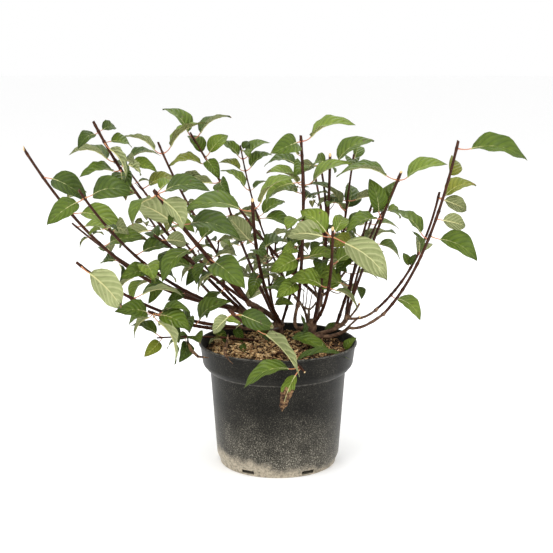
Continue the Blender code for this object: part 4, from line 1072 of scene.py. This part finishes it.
def grow_old_wood(finishes, cuts):
    """Stools, arms, boughs and the collars of the shoots, fused and given the bark's relief."""
    parts = []
    for foot, rows in STOOLS.values():
        parts.append(round_limb([foot + Vector((dx, dy, SOIL_TOP + height)) for height, dx, dy, r in rows],
                                [r for height, dx, dy, r in rows]))
    steps = [i / 16 for i in range(17)]
    for row in LIMBS:
        parts.append(round_limb([path_point(row, t) for t in steps], [radius_at(row, t) for t in steps]))
    for shoot in SHOOTS:
        if shoot.carrier == "soil":
            continue
        share = COLLAR_LENGTH / (Vector(shoot.end) - Vector(shoot.start)).length
        collar = [-0.3 * share, 0.0, 0.3 * share, 0.65 * share, share]
        widths = [radius_at(shoot, t) * (COLLAR_SWELL + (0.9 - COLLAR_SWELL) * i / 4)
                  for i, t in enumerate(collar)]
        parts.append(round_limb([path_point(shoot, t) for t in collar], widths))
    choose(*parts)
    bpy.ops.object.join()
    piece = bpy.context.object
    fuse = piece.modifiers.new("fuse", "REMESH")
    fuse.mode = "VOXEL"
    fuse.voxel_size = 0.9 * MM
    soften = piece.modifiers.new("soften", "SMOOTH")
    soften.iterations = 3
    soften.factor = 0.5
    roughen(piece, 8.0, 1.2)
    roughen(piece, 2.2, 0.7)
    apply_all(piece)
    nodes = list(STOOLS) + [row.name for row in LIMBS]
    finish_piece(piece, "old_wood", [finishes["old_bark"]], nodes, 60)
    for row in LIMBS:
        if row.name in CUT_LIMBS:
            cut_face(cuts, row, path_direction(row, 0.99), row.end_radius * 0.95,
                     direction_of(*CUT_LIMBS[row.name]), 0.3)
    cuts.make("cut_ends", "old_wood", [finishes["cut_wood"]])


def grow_dead_wood(finishes):
    """Thin dead twigs about the fork, and dried leaves that hang rolled up."""
    dead = Pile()
    for name, start, middle, end, foot, tip in DEAD_TWIGS:
        row = Limb(name, "stool_right", start, middle, end, foot, tip)
        steps = [i / 10 for i in range(11)]
        widths = [radius_at(row, t) * (1.25 if i % 4 == 2 else 1.0) for i, t in enumerate(steps)]
        tube(dead, [path_point(row, t) for t in steps], widths, 7)
    for path in DRIED_LEAVES:
        widths = [0.6, 1.6, 2.6, 2.2, 0.5]
        tube(dead, path, widths[:len(path) - 1] + [0.5], 6, 1)
    dead.make("dead_twigs", "old_wood", [finishes["dead_bark"], finishes["leaf_scorched"]], (), 50)


# Pot

LIP_ROUND = 1.6
SPIN_STEPS = 144


def pot_profile():
    """Closed outline of the pot's wall from the middle of its underside, round the lip and back."""
    outline = [
        (0.0, 0.0), (FOOT_RADIUS - 14.0, 0.0), (FOOT_RADIUS - 0.8, 0.0), (FOOT_RADIUS, 0.8),
        (FOOT_RADIUS + 0.6, FOOT_HEIGHT), (BODY_FOOT_RADIUS - 0.6, BODY_FOOT - 1.6),
        (BODY_FOOT_RADIUS, BODY_FOOT),
        (SHOULDER_RADIUS - 0.5, SHOULDER_FOOT - 1.0), (SHOULDER_RADIUS + 0.6, SHOULDER_FOOT + 0.8),
        (SHOULDER_RADIUS + 5.0, SHOULDER_FOOT + 4.0), (BAND_FOOT_RADIUS - 1.5, BAND_FOOT - 4.0),
        (BAND_FOOT_RADIUS - 0.3, BAND_FOOT - 1.2), (BAND_FOOT_RADIUS, BAND_FOOT),
        (BAND_TOP_RADIUS - 1.2, POT_HEIGHT - LIP_DEPTH - 0.6),
        (LIP_RADIUS - 0.3, POT_HEIGHT - LIP_DEPTH + 0.4), (LIP_RADIUS, POT_HEIGHT - LIP_DEPTH + 1.2),
    ]
    for i in range(7):
        a = math.pi * i / 6
        outline.append((LIP_RADIUS - LIP_ROUND + LIP_ROUND * math.cos(a),
                        POT_HEIGHT - LIP_ROUND + LIP_ROUND * math.sin(a)))
    outline += [
        (BAND_TOP_RADIUS - WALL - 0.6, POT_HEIGHT - 4.0), (BAND_FOOT_RADIUS - WALL, BAND_FOOT),
        (SHOULDER_RADIUS - WALL, SHOULDER_FOOT), (BODY_FOOT_RADIUS - WALL, BODY_FOOT),
        (FOOT_RADIUS - WALL, WALL), (0.0, WALL),
    ]
    return outline


def spin_pot(finishes):
    """Pot spun from its outline, with drain slots cut through its foot."""
    outline = pot_profile()
    deselect()
    bpy.ops.mesh.primitive_circle_add(vertices=len(outline), radius=0.1)
    pot = bpy.context.object
    for corner, (radius, height) in zip(pot.data.vertices, outline):
        corner.co = (radius * MM, 0.0, height * MM)
    bpy.ops.object.mode_set(mode="EDIT")
    bpy.ops.mesh.select_all(action="SELECT")
    bpy.ops.mesh.spin(steps=SPIN_STEPS, angle=2 * math.pi, center=(0, 0, 0), axis=(0, 0, 1))
    bpy.ops.mesh.select_all(action="SELECT")
    bpy.ops.mesh.remove_doubles(threshold=0.01 * MM)
    bpy.ops.mesh.dissolve_degenerate(threshold=0.005 * MM)
    bpy.ops.mesh.normals_make_consistent(inside=False)
    bpy.ops.object.mode_set(mode="OBJECT")
    for i in range(SLOT_COUNT):
        heading = math.radians(SLOT_FIRST_HEADING + 360 / SLOT_COUNT * i)
        reach = FOOT_RADIUS + SLOT_DEPTH / 4
        place = (reach * math.cos(heading) * MM, reach * math.sin(heading) * MM,
                 (WALL + 0.4 + WALL + SLOT_HEIGHT) / 2 * MM)
        deselect()
        bpy.ops.mesh.primitive_cube_add(size=1, location=place, rotation=(0, 0, heading))
        cutter = bpy.context.object
        cutter.scale = (SLOT_DEPTH * 1.5 * MM, SLOT_WIDTH * MM, (SLOT_HEIGHT - 0.4) * MM)
        bpy.ops.object.transform_apply(location=False, rotation=False, scale=True)
        cut = pot.modifiers.new("slot", "BOOLEAN")
        cut.operation = "DIFFERENCE"
        cut.object = cutter
        apply_all(pot)
        bpy.data.objects.remove(cutter)
    finish_piece(pot, "nursery_pot", [finishes["pot"]], ["pot"], 35)


# Compost

CHIP_COUNT = 2600
CHIP_LENGTHS = (3.0, 4.0, 5.0, 6.5, 8.5, 13.0)
# Finishes of the chips, tan, brown and dark: the mix, and the darker mix towards the right side
CHIP_MIX = (0, 0, 0, 1, 1, 2)
RIGHT_SIDE_MIX = (0, 1, 1, 2, 2, 2)
RIGHT_SIDE_FROM = 15.0


def ground_height(x, y):
    """Height of the compost's mound at a place."""
    flat = math.hypot(x - SOIL_FLAT_SHIFT.x, y - SOIL_FLAT_SHIFT.y)
    if flat <= SOIL_FLAT_RADIUS:
        return SOIL_TOP
    share = min(1.0, (flat - SOIL_FLAT_RADIUS) / (BAND_FOOT_RADIUS - SOIL_FLAT_RADIUS))
    return SOIL_TOP + (SOIL_EDGE - SOIL_TOP) * share


def lay_compost(finishes):
    """Compost that fills the pot: a disc inset into rings, raised to its mound and roughened."""
    radius = BAND_FOOT_RADIUS - WALL + 0.6
    deselect()
    bpy.ops.mesh.primitive_circle_add(vertices=96, radius=radius * MM, fill_type="NGON")
    piece = bpy.context.object
    bpy.ops.object.mode_set(mode="EDIT")
    bpy.ops.mesh.select_all(action="SELECT")
    for i in range(26):
        bpy.ops.mesh.inset(thickness=radius * MM / 27, depth=0)
    bpy.ops.object.mode_set(mode="OBJECT")
    for corner in piece.data.vertices:
        corner.co.z = ground_height(corner.co.x / MM, corner.co.y / MM) * MM
    bpy.ops.object.mode_set(mode="EDIT")
    bpy.ops.mesh.select_all(action="DESELECT")
    bpy.ops.mesh.select_non_manifold()
    bpy.ops.mesh.extrude_region_move(TRANSFORM_OT_translate={"value": (0, 0, -6 * MM)})
    bpy.ops.mesh.edge_face_add()
    bpy.ops.mesh.select_all(action="SELECT")
    bpy.ops.mesh.normals_make_consistent(inside=False)
    bpy.ops.object.mode_set(mode="OBJECT")
    roughen(piece, 14.0, 4.0)
    roughen(piece, 4.0, 2.0)
    apply_all(piece)
    finish_piece(piece, "compost", [finishes["compost"]], ["soil"], 60)


def scatter_chips(finishes):
    """Bark chips strewn over the compost, long splinters and small crumbs."""
    draw = random.Random("bark chips")
    chips = Pile()
    square = ((-1, -1), (1, -1), (1, 1), (-1, 1))
    sides = [(k + s, k + (s + 1) % 4, k + (s + 1) % 4 + 4, k + s + 4) for k in (0, 4) for s in range(4)]
    for i in range(CHIP_COUNT):
        reach = (BAND_FOOT_RADIUS - 5.0) * math.sqrt(draw.random())
        heading = draw.uniform(0, 2 * math.pi)
        x, y = reach * math.cos(heading), reach * math.sin(heading)
        long = draw.choice(CHIP_LENGTHS) * draw.uniform(0.7, 1.2)
        wide = long * draw.uniform(0.14, 0.4)
        thick = min(wide, 2.6) * draw.uniform(0.35, 0.8)
        turn = (Matrix.Rotation(draw.uniform(0, 2 * math.pi), 3, "Z")
                @ Matrix.Rotation(math.radians(draw.uniform(-30, 30)), 3, "Y")
                @ Matrix.Rotation(math.radians(draw.uniform(-45, 45)), 3, "X"))
        middle = Vector((x, y, ground_height(x, y) + draw.uniform(0.0, 3.0)))
        points = []
        for end, narrow in ((-1, draw.uniform(0.25, 0.8)), (0, 1.0), (1, draw.uniform(0.25, 0.8))):
            for a, b in square:
                corner = Vector((end * long / 2 * draw.uniform(0.8, 1.0),
                                 a * wide / 2 * narrow * draw.uniform(0.75, 1.1),
                                 b * thick / 2 * draw.uniform(0.6, 1.1)))
                points.append(middle + turn @ corner)
        # Chips past a ragged line towards the right side take the darker mix
        chips.put(points, [(3, 2, 1, 0), (8, 9, 10, 11)] + sides, draw.choice(RIGHT_SIDE_MIX if x + draw.uniform(-25, 25) > RIGHT_SIDE_FROM else CHIP_MIX))
    barks = [finishes[n] for n in ("chip_tan", "chip_brown", "chip_dark")]
    chips.make("bark_chips", "soil", barks, (), 25)


# Studio

LAMPS = (((-1.3, -1.6, 2.2), 1.6, 42.0), ((1.6, -1.2, 1.8), 1.6, 16.0), ((0.2, 1.6, 2.4), 1.8, 24.0))


def light_studio():
    """Pale floor, soft lights and the photograph's camera."""
    deselect()
    bpy.ops.mesh.primitive_plane_add(size=30.0, location=(0, 0, -0.0002))
    floor = bpy.context.object
    floor.name = "studio_floor"
    paper, node, shader, place = start_finish("white_paper", 0.9, 0.1)
    feed(shader, {"Base Color": (0.98, 0.98, 0.98, 1.0)})
    floor.data.materials.append(paper)

    bpy.context.scene.view_settings.view_transform = "Standard"
    world = bpy.data.worlds.new("studio")
    bpy.context.scene.world = world
    world.use_nodes = True
    feed(world.node_tree.nodes["Background"], {"Color": (1.0, 1.0, 1.0, 1.0), "Strength": 1.0})
    for place, size, power in LAMPS:
        bpy.ops.object.light_add(type="AREA", location=place)
        lamp = bpy.context.object
        lamp.data.size = size
        lamp.data.energy = power
        aim = Vector((0.0, 0.0, 0.25)) - Vector(place)
        lamp.rotation_euler = aim.to_track_quat("-Z", "Y").to_euler()

    bpy.ops.object.camera_add(location=CAMERA_PLACE,
                              rotation=(math.radians(90 - CAMERA_PITCH), 0, 0))
    camera = bpy.context.object
    camera.data.lens = CAMERA_LENS
    camera.data.sensor_width = CAMERA_SENSOR
    bpy.context.scene.camera = camera


finishes = build_finishes()
leaves, twigs = find_leaves()
fine = {shoot.name: twiglets(shoot) for shoot in SHOOTS}
spin_pot(finishes)
lay_compost(finishes)
scatter_chips(finishes)
grow_old_wood(finishes, grow_stems(finishes, leaves, fine, twigs))
grow_foliage(finishes, leaves, fine)
grow_dead_wood(finishes)
light_studio()
